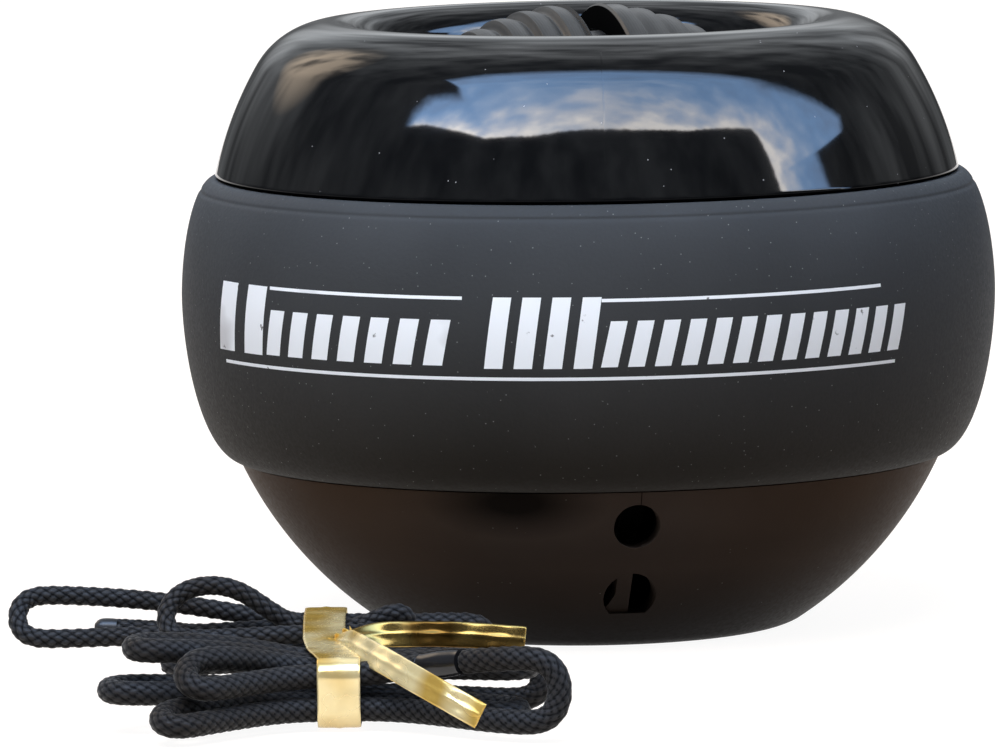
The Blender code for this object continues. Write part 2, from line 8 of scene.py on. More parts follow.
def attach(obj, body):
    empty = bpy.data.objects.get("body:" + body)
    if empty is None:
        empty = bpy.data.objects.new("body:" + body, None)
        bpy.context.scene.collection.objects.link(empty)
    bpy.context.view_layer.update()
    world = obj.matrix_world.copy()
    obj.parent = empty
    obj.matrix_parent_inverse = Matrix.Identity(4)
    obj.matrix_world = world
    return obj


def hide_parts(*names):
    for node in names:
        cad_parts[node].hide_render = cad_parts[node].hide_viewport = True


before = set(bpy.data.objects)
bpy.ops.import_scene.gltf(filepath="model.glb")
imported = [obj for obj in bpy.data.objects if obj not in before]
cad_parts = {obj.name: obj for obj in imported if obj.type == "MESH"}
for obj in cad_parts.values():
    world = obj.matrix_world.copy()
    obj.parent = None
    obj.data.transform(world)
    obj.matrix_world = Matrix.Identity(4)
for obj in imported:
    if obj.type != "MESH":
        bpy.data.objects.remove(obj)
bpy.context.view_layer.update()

# Gyroscopic wrist ball, its starter cord and its wrist strap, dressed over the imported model.
# Lengths are in millimetres until a mesh is made.
mm = 0.001
sharpAngle = 35  # degrees between two faces, past which their edge shows
print("stage: frame loaded")


def fullTurn(steps):
    return np.linspace(0, 2 * np.pi, steps, endpoint=False)


def onCircle(angle):
    return np.stack([np.cos(angle), np.sin(angle)], -1)


def ringOf(steps, side, up):
    # A round of directions, side * cos + up * sin, for one side and up or for each along a path.
    angle = fullTurn(steps)[:, None]
    return np.cos(angle) * side[..., None, :] + np.sin(angle) * up[..., None, :]


def unit(vectors):
    return vectors / np.linalg.norm(vectors, axis=-1, keepdims=True)


def walkedTo(path):
    # The way along the path to each of its points.
    return np.concatenate([[0.0], np.cumsum(np.linalg.norm(np.diff(path, axis=0), axis=1))])


def addObject(name, data):
    item = bpy.data.objects.new(name, data)
    bpy.context.scene.collection.objects.link(item)
    return item


camera = {
    "distance": 900.0,  # in front of the ball's axis
    "height": 118.0,
    "lens": 363.5, "sensor": 36.0,
    "down": 6.06,  # degrees below the horizon
    "aside": 0.52,  # degrees to the left of the axis
    "roll": -0.8,  # degrees; the right side stands higher
    "clip": (0.01, 20.0),  # metres
}


def addCamera():
    data = bpy.data.cameras.new("camera")
    data.lens, data.sensor_width = camera["lens"], camera["sensor"]
    data.clip_start, data.clip_end = camera["clip"]
    item = addObject("camera", data)
    turn = Matrix.Rotation(math.radians(camera["aside"]), 4, "Z")
    turn = turn @ Matrix.Rotation(math.radians(90 - camera["down"]), 4, "X")
    turn = turn @ Matrix.Rotation(math.radians(camera["roll"]), 4, "Z")
    item.matrix_world = Matrix.Translation((0, -camera["distance"] * mm, camera["height"] * mm)) @ turn
    bpy.context.scene.camera = item


class nodeBoard:
    # The nodes of one material or world, with short calls for what both need. A value that is a
    # socket is linked, and any other sits on the input socket itself.
    def __init__(self, owner):
        owner.use_nodes = True
        self.owner = owner
        self.nodes = owner.node_tree.nodes

    def put(self, socket, value):
        if isinstance(value, bpy.types.NodeSocket):
            self.owner.node_tree.links.new(value, socket)
        else:
            socket.default_value = (*value, 1) if socket.type == "RGBA" else value

    def add(self, kind, inputs=None, **settings):
        node = self.nodes.new("ShaderNode" + kind)
        for key, value in settings.items():
            setattr(node, key, value)
        for key, value in (inputs or {}).items():
            self.put(node.inputs[key], value)
        return node

    def shade(self, values):
        # Inputs of the material's own Principled shader.
        for key, value in values.items():
            self.put(self.nodes["Principled BSDF"].inputs[key], value)

    def maths(self, operation, first, second=0.0, clamp=False):
        return self.add("Math", {0: first, 1: second}, operation=operation, use_clamp=clamp).outputs[0]

    def times(self, first, *others):
        for other in others:
            first = self.maths("MULTIPLY", first, other)
        return first

    def spread(self, value, low, high, fromLow=0.0, fromHigh=1.0):
        # What lies between fromLow and fromHigh goes from low to high, and stays there beyond.
        return self.add("MapRange", {0: value, 1: fromLow, 2: fromHigh, 3: low, 4: high}).outputs[0]

    def along(self, length, low, high, start, end):
        # The same for a length in the scene, with its start and end in millimetres.
        return self.spread(length, low, high, start * mm, end * mm)

    def vary(self, noise, low, high):
        # Low to high over the middle of a noise, where most of it lies.
        return self.spread(noise, low, high, 0.3, 0.7)

    def between(self, factor, first, second):
        return self.add("Mix", {0: factor, 6: first, 7: second}, data_type="RGBA").outputs[2]

    def scaled(self, colour, factor):
        return self.add("VectorMath", {0: colour, "Scale": factor}, operation="SCALE").outputs[0]

    def measure(self, operation, first, second):
        return self.add("VectorMath", {0: first, 1: second}, operation=operation).outputs["Value"]

    def place(self):
        return self.add("TexCoord").outputs["Object"]

    def parts(self, vector=None):
        return self.add("SeparateXYZ", {0: vector or self.place()}).outputs

    def stretched(self, vector, scale):
        return self.add("Mapping", {"Vector": vector, "Scale": scale}).outputs[0]

    def noise(self, scale, detail=4.0, vector=None):
        inputs = {"Vector": vector or self.place(), "Scale": scale, "Detail": detail}
        return self.add("TexNoise", inputs).outputs[0]

    def bump(self, height, depth, strength):
        node = self.add("Bump", {"Height": height, "Distance": depth * mm, "Strength": strength})
        self.shade({"Normal": node.outputs[0]})

    def ramp(self, value, stops):
        node = self.add("ValToRGB", {0: value})
        elements = node.color_ramp.elements
        while len(elements) < len(stops):
            elements.new(0.5)
        for element, (place, colour) in zip(elements, stops):
            element.position = place
            element.color = (*colour, 1)
        return node.outputs[0]

    def curve(self, value, points, span, reach):
        # Straight pieces through the points; span is what the curve runs over, and reach is the
        # range of its values.
        node = self.add("FloatCurve", {"Value": self.spread(value, 0.0, 1.0, *span)})
        line = node.mapping.curves[0]
        while len(line.points) < len(points):
            line.points.new(0.5, 0.5)
        for point, (x, y) in zip(line.points, points):
            point.location = ((x - span[0]) / (span[1] - span[0]), (y - reach[0]) / (reach[1] - reach[0]))
            point.handle_type = "VECTOR"
        node.mapping.update()
        return self.spread(node.outputs[0], *reach)

    def dust(self, cells, threshold, core=0.05, rim=0.12):
        # Specks: the middles of a few small cells, picked by the cell's own random colour.
        cell = self.add("TexVoronoi", {"Vector": self.place(), "Scale": cells}).outputs
        near = self.spread(cell["Distance"], 1.0, 0.0, core, rim)
        pick = self.add("SeparateColor", {0: cell["Color"]}).outputs[0]
        return self.maths("MULTIPLY", near, self.maths("GREATER_THAN", pick, threshold), clamp=True)

    def seam(self, azimuth, low, high, fade=0.2, core=0.0008, rim=0.0022):
        # 1 on an upright hairline of the moulding, at an azimuth from the front in degrees and
        # between two heights. It fades out from core to rim, both in radians to either side.
        x, y, z = self.parts()
        around = self.maths("ARCTAN2", x, self.times(y, -1.0))
        away = self.maths("ABSOLUTE", self.maths("SUBTRACT", around, math.radians(azimuth)))
        return self.times(self.spread(away, 1.0, 0.0, core, rim), self.along(z, 0.0, 1.0, low, low + fade),
                          self.along(z, 1.0, 0.0, high - fade, high))


def newMaterial(name, values=None):
    board = nodeBoard(bpy.data.materials.new(name))
    board.shade(values or {})
    return board


paper = {
    "rings": [0.0, 0.2, 0.5, 1.05], "steps": 96,  # radii in metres, points round each
    "tone": (0.15, 0.11, 0.08), "roughness": 0.9,
    "seen": 0.93,  # its brightness as a background
}


def addFloor():
    # A wide flat disc: rings of points at growing radii.
    flat = np.array(paper["rings"])[:, None, None] * onCircle(fullTurn(paper["steps"]))
    points = np.concatenate([flat, 0 * flat[..., :1]], -1)
    floor = gridMesh("floor", points / mm, recalculate=False, sharp=0)
    board = newMaterial("floorPaper", {"Base Color": paper["tone"], "Roughness": paper["roughness"]})
    ray = board.add("LightPath").outputs
    seen = board.maths("ADD", ray["Is Camera Ray"], ray["Is Glossy Ray"])
    seen = board.maths("ADD", seen, ray["Is Transmission Ray"], clamp=True)
    board.shade({"Emission Color": (1, 1, 1), "Emission Strength": board.times(seen, paper["seen"])})
    floor.data.materials.append(board.owner)


lamps = {
    # name: (place, aim, width, height, watts, colour); soft fills that leave no shape in the gloss
    "topFill": ((-0.3, -1.0, 1.9), (0, 0, 0.03), 1.6, 1.2, 74.0, (0.90, 0.98, 1.10)),
    "leftFill": ((-1.6, -0.9, 0.7), (0, 0, 0.03), 0.9, 0.8, 3.5, (1.0, 0.93, 0.86)),
}


def addLamps():
    for name, (place, aim, width, height, watts, colour) in lamps.items():
        data = bpy.data.lights.new(name, "AREA")
        data.shape = "RECTANGLE"
        data.size, data.size_y, data.energy, data.color = width, height, watts, colour
        item = addObject(name, data)
        item.visible_glossy = False
        way = Vector(aim) - Vector(place)
        item.matrix_world = Matrix.Translation(place) @ way.to_track_quat("-Z", "Y").to_matrix().to_4x4()
    bpy.context.scene.view_settings.view_transform = "Standard"


sky = {
    "strength": 12.0, "plain": (0.27, 0.27, 0.275),
    "lowest": 0.04,  # the least sine of elevation that the map below divides by
    "span": (-1.5, 4.5), "reach": (-0.5, 2.5),  # what the two edge curves run over, and their values' range
    # Seen from below as a map (sideways / height, frontwards / height): the roof's edge overhead
    # and the skyline in front; open sky lies between them.
    "roof": [(-1.5, 0.6), (-1.16, 0.42), (-0.95, 0.38), (-0.74, 0.50), (-0.68, 0.22), (-0.4, 0.17),
             (1.06, 0.17), (1.54, -0.12), (1.95, -0.34), (2.2, -0.28), (2.27, 0.3), (3.0, 0.42), (4.5, 0.6)],
    "skyline": [(-1.5, 0.4), (-1.16, 0.62), (-0.78, 1.04), (-0.42, 1.13), (0.0, 1.1), (0.37, 1.08),
                (0.76, 0.98), (1.05, 0.8), (1.25, 0.68), (1.38, 0.71), (3.05, 1.52), (4.5, 2.3)],
    "edgeRough": 0.02, "edgeScale": 40.0,
    # share of the way from the roof's edge to the skyline, then the colour
    "air": [(0.0, (0.15, 0.23, 0.38)), (0.35, (0.17, 0.29, 0.50)), (0.62, (0.27, 0.38, 0.57)),
            (0.85, (0.52, 0.56, 0.65)), (1.0, (0.85, 0.82, 0.80))],
    # clouds and streaks are noise: how the direction is stretched, its scale, its detail
    "cloud": ((3.0, 9.0, 9.0), 1.6, 4.0), "streak": ((5.0, 5.0, 0.7), 1.3, 3.0), "cloudShift": (-0.16, 0.2),
    # one value and another, then the stretch over which the first becomes the second
    "roofSoft": (0.0, 1.0, -0.02, 0.09), "skylineSoft": (0.0, 1.0, 0.0, 0.02),
    "airSide": (1.5, 1.0, -0.9, 0.2),
    "back": (0.0, 3.8, 0.0, 0.4), "backLow": (0.0, 1.0, 0.08, 0.3), "backSide": (1.0, 0.15, 0.25, 0.6),
    "dimLow": (0.75, 1.0, 0.0, 0.3), "dimStreak": (0.45, 1.9, 0.35, 0.68),
    "glowEdge": (0.0, 1.0, 0.955, 0.992), "glowStreak": (0.2, 1.0, 0.42, 0.58),
    # sine of the elevation, then the colour of the dim surroundings at it
    "ground": [(-0.2, (0.030, 0.029, 0.028)), (0.0, (0.012, 0.0125, 0.013)), (0.15, (0.014, 0.0145, 0.015)),
               (0.45, (0.009, 0.0095, 0.010)), (0.75, (0.011, 0.0115, 0.012)), (1.0, (0.013, 0.0135, 0.014))],
    # a warm glow behind the left shoulder: its direction, its colour
    "glow": ((-0.59, 0.60, 0.54), (0.22, 0.18, 0.14)),
}


def addSky():
    # What the gloss mirrors: an open strip of sky between a roof's edge and a skyline, in dim
    # surroundings with upright streaks. Everything else gets a plain soft light from it.
    world = bpy.data.worlds.new("sky")
    bpy.context.scene.world = world
    board = nodeBoard(world)
    maths, spread = board.maths, board.spread
    way = board.add("TexCoord").outputs["Generated"]
    x, y, z = board.parts(way)
    height = maths("MAXIMUM", z, sky["lowest"])
    sideways = maths("DIVIDE", x, height)
    frontwards = maths("DIVIDE", board.times(y, -1.0), height)
    cloud, streak = (board.noise(scale, detail, board.stretched(way, stretch))
                     for stretch, scale, detail in (sky["cloud"], sky["streak"]))
    edge = spread(board.noise(sky["edgeScale"], 2.0, way), -sky["edgeRough"], sky["edgeRough"])
    roof, skyline = (maths("ADD", board.curve(sideways, sky[name], sky["span"], sky["reach"]), edge)
                     for name in ("roof", "skyline"))
    fromRoof, toSkyline = maths("SUBTRACT", frontwards, roof), maths("SUBTRACT", skyline, frontwards)
    share = maths("DIVIDE", fromRoof, maths("SUBTRACT", skyline, roof))
    clear = board.times(spread(fromRoof, *sky["roofSoft"]), spread(toSkyline, *sky["skylineSoft"]))
    air = board.ramp(maths("ADD", share, board.vary(cloud, *sky["cloudShift"])), sky["air"])
    air = board.scaled(air, spread(sideways, *sky["airSide"]))
    lowest = sky["ground"][0][0]
    stops = [((sine - lowest) / (1 - lowest), colour) for sine, colour in sky["ground"]]
    ground = board.ramp(spread(z, 0.0, 1.0, lowest, 1.0), stops)
    # brighter behind the part and near the middle, and a little dimmer towards the ground
    behind = board.times(spread(y, *sky["back"]), spread(z, *sky["backLow"]),
                         spread(maths("ABSOLUTE", x), *sky["backSide"]))
    behind = maths("ADD", behind, spread(z, *sky["dimLow"]))
    dim = board.scaled(ground, board.times(spread(streak, *sky["dimStreak"]), behind))
    place, colour = sky["glow"]
    toGlow = spread(board.measure("DOT_PRODUCT", way, place), *sky["glowEdge"])
    around = board.between(board.times(toGlow, spread(streak, *sky["glowStreak"])), dim, colour)
    mirrored = board.nodes["Background"]
    board.put(mirrored.inputs["Color"], board.between(clear, around, air))
    board.put(mirrored.inputs["Strength"], sky["strength"])
    plain = board.add("Background", {"Color": sky["plain"]})
    seen = board.add("LightPath").outputs["Is Glossy Ray"]
    mix = board.add("MixShader", {0: seen, 1: plain.outputs[0], 2: mirrored.outputs[0]})
    board.put(board.nodes["World Output"].inputs["Surface"], mix.outputs[0])


def gridMesh(name, points, closeRows=False, capEnds=False, recalculate=True, sharp=sharpAngle, weave=None):
    # A surface through a grid of points. Its columns close on themselves and its rows can; its
    # UV is (row, column) of each face corner as shares of the whole.
    rows, columns = points.shape[:2]
    rowSpan = rows if closeRows else rows - 1
    i, j = np.arange(rowSpan)[:, None], np.arange(columns)[None, :]
    corners = [(i, j), (i, j + 1), (i + 1, j + 1), (i + 1, j)]
    faces = np.stack([((a % rows) * columns + b % columns).ravel() for a, b in corners], -1)
    uv = [np.stack(np.broadcast_arrays(a / rowSpan, b / columns), -1).reshape(-1, 2) for a, b in corners]
    uv = np.stack(uv, 1).reshape(-1, 2)
    polygons = faces.tolist()
    if capEnds:
        polygons.append(list(range(columns)))
        polygons.append(list(range((rows - 1) * columns, rows * columns)))
        uv = np.concatenate([uv, np.zeros((2 * columns, 2))])
    mesh = bpy.data.meshes.new(name)
    mesh.from_pydata((points.reshape(-1, 3) * mm).tolist(), [], polygons)
    mesh.uv_layers.new(name="UVMap").data.foreach_set("uv", uv.ravel())
    if weave is not None:
        heights = weave.ravel().astype(np.float32)
        mesh.attributes.new("weave", "FLOAT", "POINT").data.foreach_set("value", heights)
    if recalculate:
        shape = bmesh.new()
        shape.from_mesh(mesh)
        bmesh.ops.remove_doubles(shape, verts=shape.verts, dist=1e-7)
        bmesh.ops.recalc_face_normals(shape, faces=shape.faces)
        shape.to_mesh(mesh)
        shape.free()
    smoothed(mesh, sharp)
    return addObject(name, mesh)


def smoothed(mesh, sharp=sharpAngle):
    mesh.shade_smooth()
    if sharp:
        mesh.set_sharp_from_angle(angle=math.radians(sharp))


def arc(centre, radius, start, end, count):
    # Points of an arc in the profile plane, angles in degrees from the outward radius.
    return np.array(centre) + radius * onCircle(np.radians(np.linspace(start, end, count + 1)))


def sphereR(radius, centreZ, z):
    return math.sqrt(radius ** 2 - (z - centreZ) ** 2)


def sphereZ(radius, centreZ, r):
    return centreZ + math.sqrt(radius ** 2 - r ** 2)


def sphereFoot(radius, centreZ, r):
    # The height of the same radius on the lower half.
    return 2 * centreZ - sphereZ(radius, centreZ, r)


def sphereSide(radius, centreZ, startZ, endZ, count):
    start, end = (math.degrees(math.asin((z - centreZ) / radius)) for z in (startZ, endZ))
    return arc((0.0, centreZ), radius, start, end, count)


def turned(name, profile, steps=288, axis=None, closed=True, sharp=sharpAngle):
    # Each (radius, height) of the profile goes round the upright axis, or round a given one:
    # point = axis * height + (side * cos + up * sin) * radius.
    profile = np.concatenate([np.atleast_2d(part) for part in profile])
    if axis is None:
        centre, along, side = np.zeros(3), np.array([0, 0, 1.0]), np.array([1.0, 0, 0])
    else:
        centre, along = axis
        side = np.array([0, 0, 1.0])
    ring = ringOf(steps, side, np.cross(along, side))
    points = centre + profile[:, 1, None, None] * along + profile[:, 0, None, None] * ring
    return gridMesh(name, points, closeRows=closed, sharp=sharp)


def cutWith(piece, cutters):
    # The holes become part of the piece's own mesh, and the cutters go.
    for tool in cutters:
        step = piece.modifiers.new("cut", "BOOLEAN")
        step.operation, step.solver, step.object = "DIFFERENCE", "EXACT", tool
    bpy.context.view_layer.update()
    done = piece.evaluated_get(bpy.context.evaluated_depsgraph_get())
    mesh = bpy.data.meshes.new_from_object(done)
    piece.modifiers.clear()
    piece.data = mesh
    for tool in cutters:
        bpy.data.objects.remove(tool)
    smoothed(mesh)


gloss = {
    "black": (0.003, 0.0033, 0.004), "roughness": (0.035, 0.08), "specular": 0.62,
    "mirrorFrom": (40.9, 41.25),  # heights over which the reflection starts
    "seam": (2.9, 44.0, 53.5),  # its azimuth and its two heights
    "dust": (0.30, 0.30, 0.31), "dustCells": 1500.0, "dustFrom": 0.95,
    "haze": 60.0, "wave": 90.0, "waveDepth": 0.02, "waveStrength": 0.25,
}


def glossBlack():
    # The lowest hair's breadth, down in the belt's groove, mirrors nothing.
    board = newMaterial("glossBlack", {"IOR": 1.5})
    dust = board.dust(gloss["dustCells"], gloss["dustFrom"])
    height = board.parts()[2]
    board.shade({"Base Color": board.between(dust, gloss["black"], gloss["dust"]),
                 "Roughness": board.vary(board.noise(gloss["haze"]), *gloss["roughness"]),
                 "Specular IOR Level": board.along(height, 0.0, gloss["specular"], *gloss["mirrorFrom"])})
    wave = board.maths("SUBTRACT", board.noise(gloss["wave"], 2.0), board.seam(*gloss["seam"]))
    board.bump(wave, gloss["waveDepth"], gloss["waveStrength"])
    return board.owner


satin = {
    "front": (0.060, 0.047, 0.040), "sides": (0.056, 0.037, 0.025), "aside": (8.0, 24.0),
    # a share of the colour and another, then the two heights between which it changes: foot is painted shade,
    # darker near the floor; top is lighter higher up
    "foot": (0.2, 1.0, 1.0, 8.0), "top": (1.0, 1.4, 10.0, 15.0),
    # a painted dark reflection: its middle, its three radii, and its shares over a stretch in radii
    "patch": (-6.6, -30.4, 14.4), "patchR": (6.2, 14.0, 2.6), "patchShade": (0.12, 1.0, 0.35, 1.35),
    "broad": 70.0, "drift": (0.88, 1.12),
    "seam": (8.1, 13.9, 15.6), "seamColour": (0.008, 0.005, 0.004),
    "dust": (0.14, 0.135, 0.13), "dustCells": 1400.0, "dustFrom": 0.93,
    "roughness": (0.36, 0.50), "grain": 2600.0, "grainDepth": 0.02, "grainStrength": 0.5,
}


def dusted(board, form, base):
    # The last coat of the bowl and of the belt: dust over the colour, and a fine grain.
    grain = board.noise(form["grain"], 2.0)
    dust = board.dust(form["dustCells"], form["dustFrom"])
    board.shade({"Base Color": board.between(dust, base, form["dust"]),
                 "Roughness": board.vary(grain, *form["roughness"])})
    board.bump(grain, form["grainDepth"], form["grainStrength"])
    return board.owner


def satinBowl():
    board = newMaterial("satinBowl", {"IOR": 1.45, "Specular IOR Level": 0.02})
    place = board.place()
    x, _, z = board.parts(place)
    aside = board.along(board.maths("ABSOLUTE", x), 0.0, 1.0, *satin["aside"])
    base = board.between(aside, satin["front"], satin["sides"])
    # A soft painted dark reflection by the belt, left of the holes: nearness to its middle, in patch radii.
    scale = np.array(satin["patchR"]) * mm
    toward = board.stretched(place, tuple(1 / scale))
    away = board.measure("DISTANCE", toward, tuple(np.array(satin["patch"]) * mm / scale))
    drift = board.vary(board.noise(satin["broad"], 3.0), *satin["drift"])
    # Painted shade near the floor, lighter higher up, the painted dark reflection and a random drift, as one
    # share of the colour.
    shade = board.times(board.along(z, *satin["foot"]), board.along(z, *satin["top"]),
                        board.spread(away, *satin["patchShade"]), drift)
    base = board.between(board.seam(*satin["seam"]), board.scaled(base, shade), satin["seamColour"])
    return dusted(board, satin, base)


rubber = {
    # Painted light and shade: the belt is darker low down and lighter and bluer towards its top, where the
    # light from above falls.
    "low": (0.024, 0.0215, 0.0185), "high": (0.047, 0.050, 0.054), "heights": (18.0, 38.0),
    "broad": 55.0, "drift": (0.88, 1.12),
    "dust": (0.20, 0.20, 0.195), "dustCells": 1700.0, "dustFrom": 0.62,
    "roughness": (0.52, 0.68), "grain": 3200.0, "grainDepth": 0.03, "grainStrength": 0.6,
}


def bandRubber():
    board = newMaterial("bandRubber", {"IOR": 1.42, "Specular IOR Level": 0.12})
    # Painted light and shade by height: from the darker low colour up to the lighter, bluer top colour.
    height = board.along(board.parts()[2], 0.0, 1.0, *rubber["heights"])
    drift = board.vary(board.noise(rubber["broad"]), *rubber["drift"])
    base = board.scaled(board.between(height, rubber["low"], rubber["high"]), drift)
    return dusted(board, rubber, base)


ink = {
    "clean": (0.88, 0.90, 0.93), "smudged": (0.62, 0.62, 0.64), "worn": (0.16, 0.16, 0.16), "roughness": 0.5,
    # scale of the noise, its detail, and where in it the smudge or wear starts and is whole
    "smudge": (160.0, 2.0, 0.62, 0.75), "wear": (900.0, 5.0, 0.70, 0.74), "depth": 0.01, "strength": 0.4,
}


def whiteInk():
    board = newMaterial("whiteInk", {"Roughness": ink["roughness"]})
    smudge, wear = (board.noise(*ink[name][:2]) for name in ("smudge", "wear"))
    base = board.between(board.spread(smudge, 0, 1, *ink["smudge"][2:]), ink["clean"], ink["smudged"])
    board.shade({"Base Color": board.between(board.spread(wear, 0, 1, *ink["wear"][2:]), base, ink["worn"])})
    board.bump(wear, ink["depth"], ink["strength"])
    return board.owner


rotorFinish = {
    "dark": (0.012, 0.012, 0.013), "light": (0.023, 0.023, 0.022), "groove": (0.004, 0.004, 0.004),
    "grooveHalf": (1.53, 1.58),  # the groove's shade ends between these ways from the middle
    "roughness": (0.30, 0.46), "specular": 0.42, "broad": 120.0,
    "turning": 26000.0, "turningDepth": 0.006, "turningStrength": 0.5,
}


def rotorSatin():
    # Fine turning marks are waves along the axle's own direction, and the groove between the
    # covers is in deep shade.
    form = rotorFinish
    board = newMaterial("rotorSatin", {"IOR": 1.5})
    along = board.measure("DOT_PRODUCT", board.place(), tuple(axleWay()))
    groove = board.along(board.maths("ABSOLUTE", along), 1.0, 0.0, *form["grooveHalf"])
    broad = board.noise(form["broad"])
    tint = board.between(broad, form["dark"], form["light"])
    board.shade({"Base Color": board.between(groove, tint, form["groove"]),
                 "Roughness": board.vary(broad, *form["roughness"]),
                 "Specular IOR Level": board.spread(groove, form["specular"], 0.0)})
    lines = board.maths("SINE", board.times(along, form["turning"]))
    board.bump(lines, form["turningDepth"], form["turningStrength"])
    return board.owner


plainKinds = {
    # metallic, the darkest tint's share, lowest and highest share of the roughness, scale of the
    # broad noise, then the grain's scale, detail, depth and strength
    "metal": (1.0, 0.8, 0.8, 1.25, 300.0, 2400.0, 3.0, 0.01, 0.3),
    "plastic": (0.0, 0.86, 0.85, 1.2, 220.0, 1800.0, 2.0, 0.015, 0.4),
}


plainParts = {
    # the finish's kind, its tint, its roughness
    "weightMetal": ("metal", (0.10, 0.10, 0.105), 0.4), "steel": ("metal", (0.55, 0.55, 0.57), 0.25),
    "acetal": ("plastic", (0.52, 0.51, 0.47), 0.32), "nylon": ("plastic", (0.55, 0.55, 0.52), 0.4),
    "cordEnd": ("plastic", (0.03, 0.03, 0.032), 0.35),
    "shrinkSleeve": ("plastic", (0.012, 0.012, 0.014), 0.18),
}


def tinted(colour, *shares):
    # The colour times one share, or each part of it times its own.
    return tuple(part * share for part, share in zip(colour, shares * 3 if len(shares) == 1 else shares))


def plainFinish(name):
    kind, colour, roughness = plainParts[name]
    metallic, dark, low, high, scale, grain, detail, depth, strength = plainKinds[kind]
    board = newMaterial(name, {"Metallic": metallic})
    broad = board.noise(scale)
    board.shade({"Base Color": board.between(broad, tinted(colour, dark), colour),
                 "Roughness": board.vary(broad, roughness * low, roughness * high)})
    board.bump(board.noise(grain, detail), depth, strength)
    return board.owner


braid = {
    "sheen": 0.08, "sheenRoughness": 0.4, "specular": 0.2,
    # the hollows' painted shade, and the crests' lighter fibres, partly a painted highlight
    "hollowShade": 0.03, "crest": 2.8, "warm": (1.5, 1.25, 1.0),  # shares of the cord's own colour
    "fibres": (770.0, 42.0, 1.0),  # along the cord and round it
    "broad": 160.0, "drift": (0.4, 0.65), "rise": (0.15, 0.85), "roughness": (0.9, 0.34, 0.2, 0.95),
    "fibreDepth": 0.05, "fibreStrength": 0.7,
}


def braidBlack(name, colour):
    # The strands are in the mesh, with their height as the weave attribute: hollows get painted shade and are
    # rougher, the fibres on the crests are lightened, partly as a painted highlight, and fine fibres run along
    # the cord.
    board = newMaterial(name, {"Sheen Weight": braid["sheen"], "Sheen Roughness": braid["sheenRoughness"],
                               "Specular IOR Level": braid["specular"]})
    weave = board.add("Attribute", attribute_name="weave").outputs["Fac"]
    uv = board.add("UVMap", uv_map="UVMap").outputs[0]
    fibre = board.noise(2.0, 3.0, board.stretched(uv, braid["fibres"]))
    crest = board.between(fibre, colour, tinted(colour, braid["crest"]))
    drift = board.spread(board.noise(braid["broad"], 3.0), 0.0, 1.0, *braid["drift"])
    warm = board.between(drift, crest, tinted(colour, *braid["warm"]))
    # Low in the weave the colour falls to painted shade; up on the crests it keeps the lighter fibres.
    high = board.spread(weave, 0.0, 1.0, *braid["rise"])
    board.shade({"Base Color": board.between(high, tinted(colour, braid["hollowShade"]), warm),
                 "Roughness": board.spread(weave, *braid["roughness"])})
    board.bump(fibre, braid["fibreDepth"], braid["fibreStrength"])
    return board.owner


foil = {
    "drift": 210.0, "driftEdge": (0.4, 0.6), "roughness": (0.16, 0.32),
    "crease": 420.0, "creaseDepth": 0.05, "creaseStrength": 0.6,
}


def goldFoil(name, metallic, pale, deep):
    # The tint drifts softly; creases and the bright and dark patches come from the gloss.
    board = newMaterial(name, {"Metallic": metallic})
    drift = board.spread(board.noise(foil["drift"], 0.0), 0, 1, *foil["driftEdge"])
    crease = board.noise(foil["crease"], 1.0)
    board.shade({"Base Color": board.between(drift, deep, pale),
                 "Roughness": board.vary(crease, *foil["roughness"])})
    board.bump(crease, foil["creaseDepth"], foil["creaseStrength"])
    return board.owner


def dress(piece, material, body="shell", stands=()):
    piece.data.materials.clear()
    piece.data.materials.append(material)
    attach(piece, body)
    if stands:
        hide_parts(*stands)


starter = {
    "diameter": 1.7, "waist": (-22.9, -41.0), "base": 3.1, "splay": 1.25, "turn": 0.5,
    # reach, lift of the run that comes to the bend, lift of the run that leaves it
    "bends": [(-42.4, 2.3, 0.0), (-11.0, 0.0, 0.0), (-36.5, 0.0, 0.0), (-13.0, 0.0, 0.2),
              (-36.6, -0.3, 3.1), (-15.6, 1.9, -0.5), (-49.6, -0.9, 2.6), (-8.7, -0.2, 0.0)],
    "archRun": 5, "arch": (-31.0, 3.8, 1.8), "loosePoints": 2, "tipStart": 0.02, "tipLength": 1.6,
    "tipShape": (0.93, 0.96, 0.97, 0.97, 0.96, 0.93, 0.86, 0.7, 0.35),  # shares of the cord's radius
    "strands": 6, "pitch": 1.15, "relief": 0.19, "columns": 42, "spacing": 0.125,
    "colour": (0.014, 0.0142, 0.0155),
}
strap = {
    "diameter": 2.1, "waist": (-21.2, -60.2), "base": 1.85, "splay": 1.65, "turn": 8.4,
    "bends": [(-40.6, 2.0, 2.0), (-6.0, 0.0, 0.0), (-36.0, 0.95, 0.0), (-2.6, 0.0, 2.4),
              (-34.0, -0.3, 2.0), (-5.0, 0.8, 0.8), (-38.5, 2.4, 2.4), (-4.0, 0.3, 0.0)],
    "sleeveX": -12.5, "sleeveLength": 4.4, "sleeveD": 2.4, "sleeveClear": 1.0,
    "sleeveWaist": 0.05, "sleeveWave": 0.02,  # how much thinner its ends are, and how uneven it is
    "strands": 8, "pitch": 1.05, "relief": 0.1, "columns": 40, "spacing": 0.14,
    "colour": (0.0135, 0.0135, 0.0145),
}
hankForm = {
    "gap": 0.3, "layGap": 0.7, "columns": 4, "runPoints": 8, "bendPoints": 4, "waistHalf": 3.0,
    "spreadLength": 14.0, "loosening": 0.12, "rightDrift": 0.75, "bendDepth": 0.85, "soften": 0.9,
    "ridgePower": 0.8, "dipPower": 0.3,  # the strands' ridges, and their dip below the next ones
}


def ease(share):
    share = np.clip(share, 0.0, 1.0)
    return share * share * (3 - 2 * share)


def runSlots(hank):
    # (across, height) of each run at the waist: the bottom layer, then back along the top one.
    pitch = hank["diameter"] + hankForm["layGap"]
    bottom = [(hank["waist"][1] - pitch * column, hank["base"]) for column in range(hankForm["columns"])]
    return bottom + [(across, height + pitch) for across, height in reversed(bottom)]


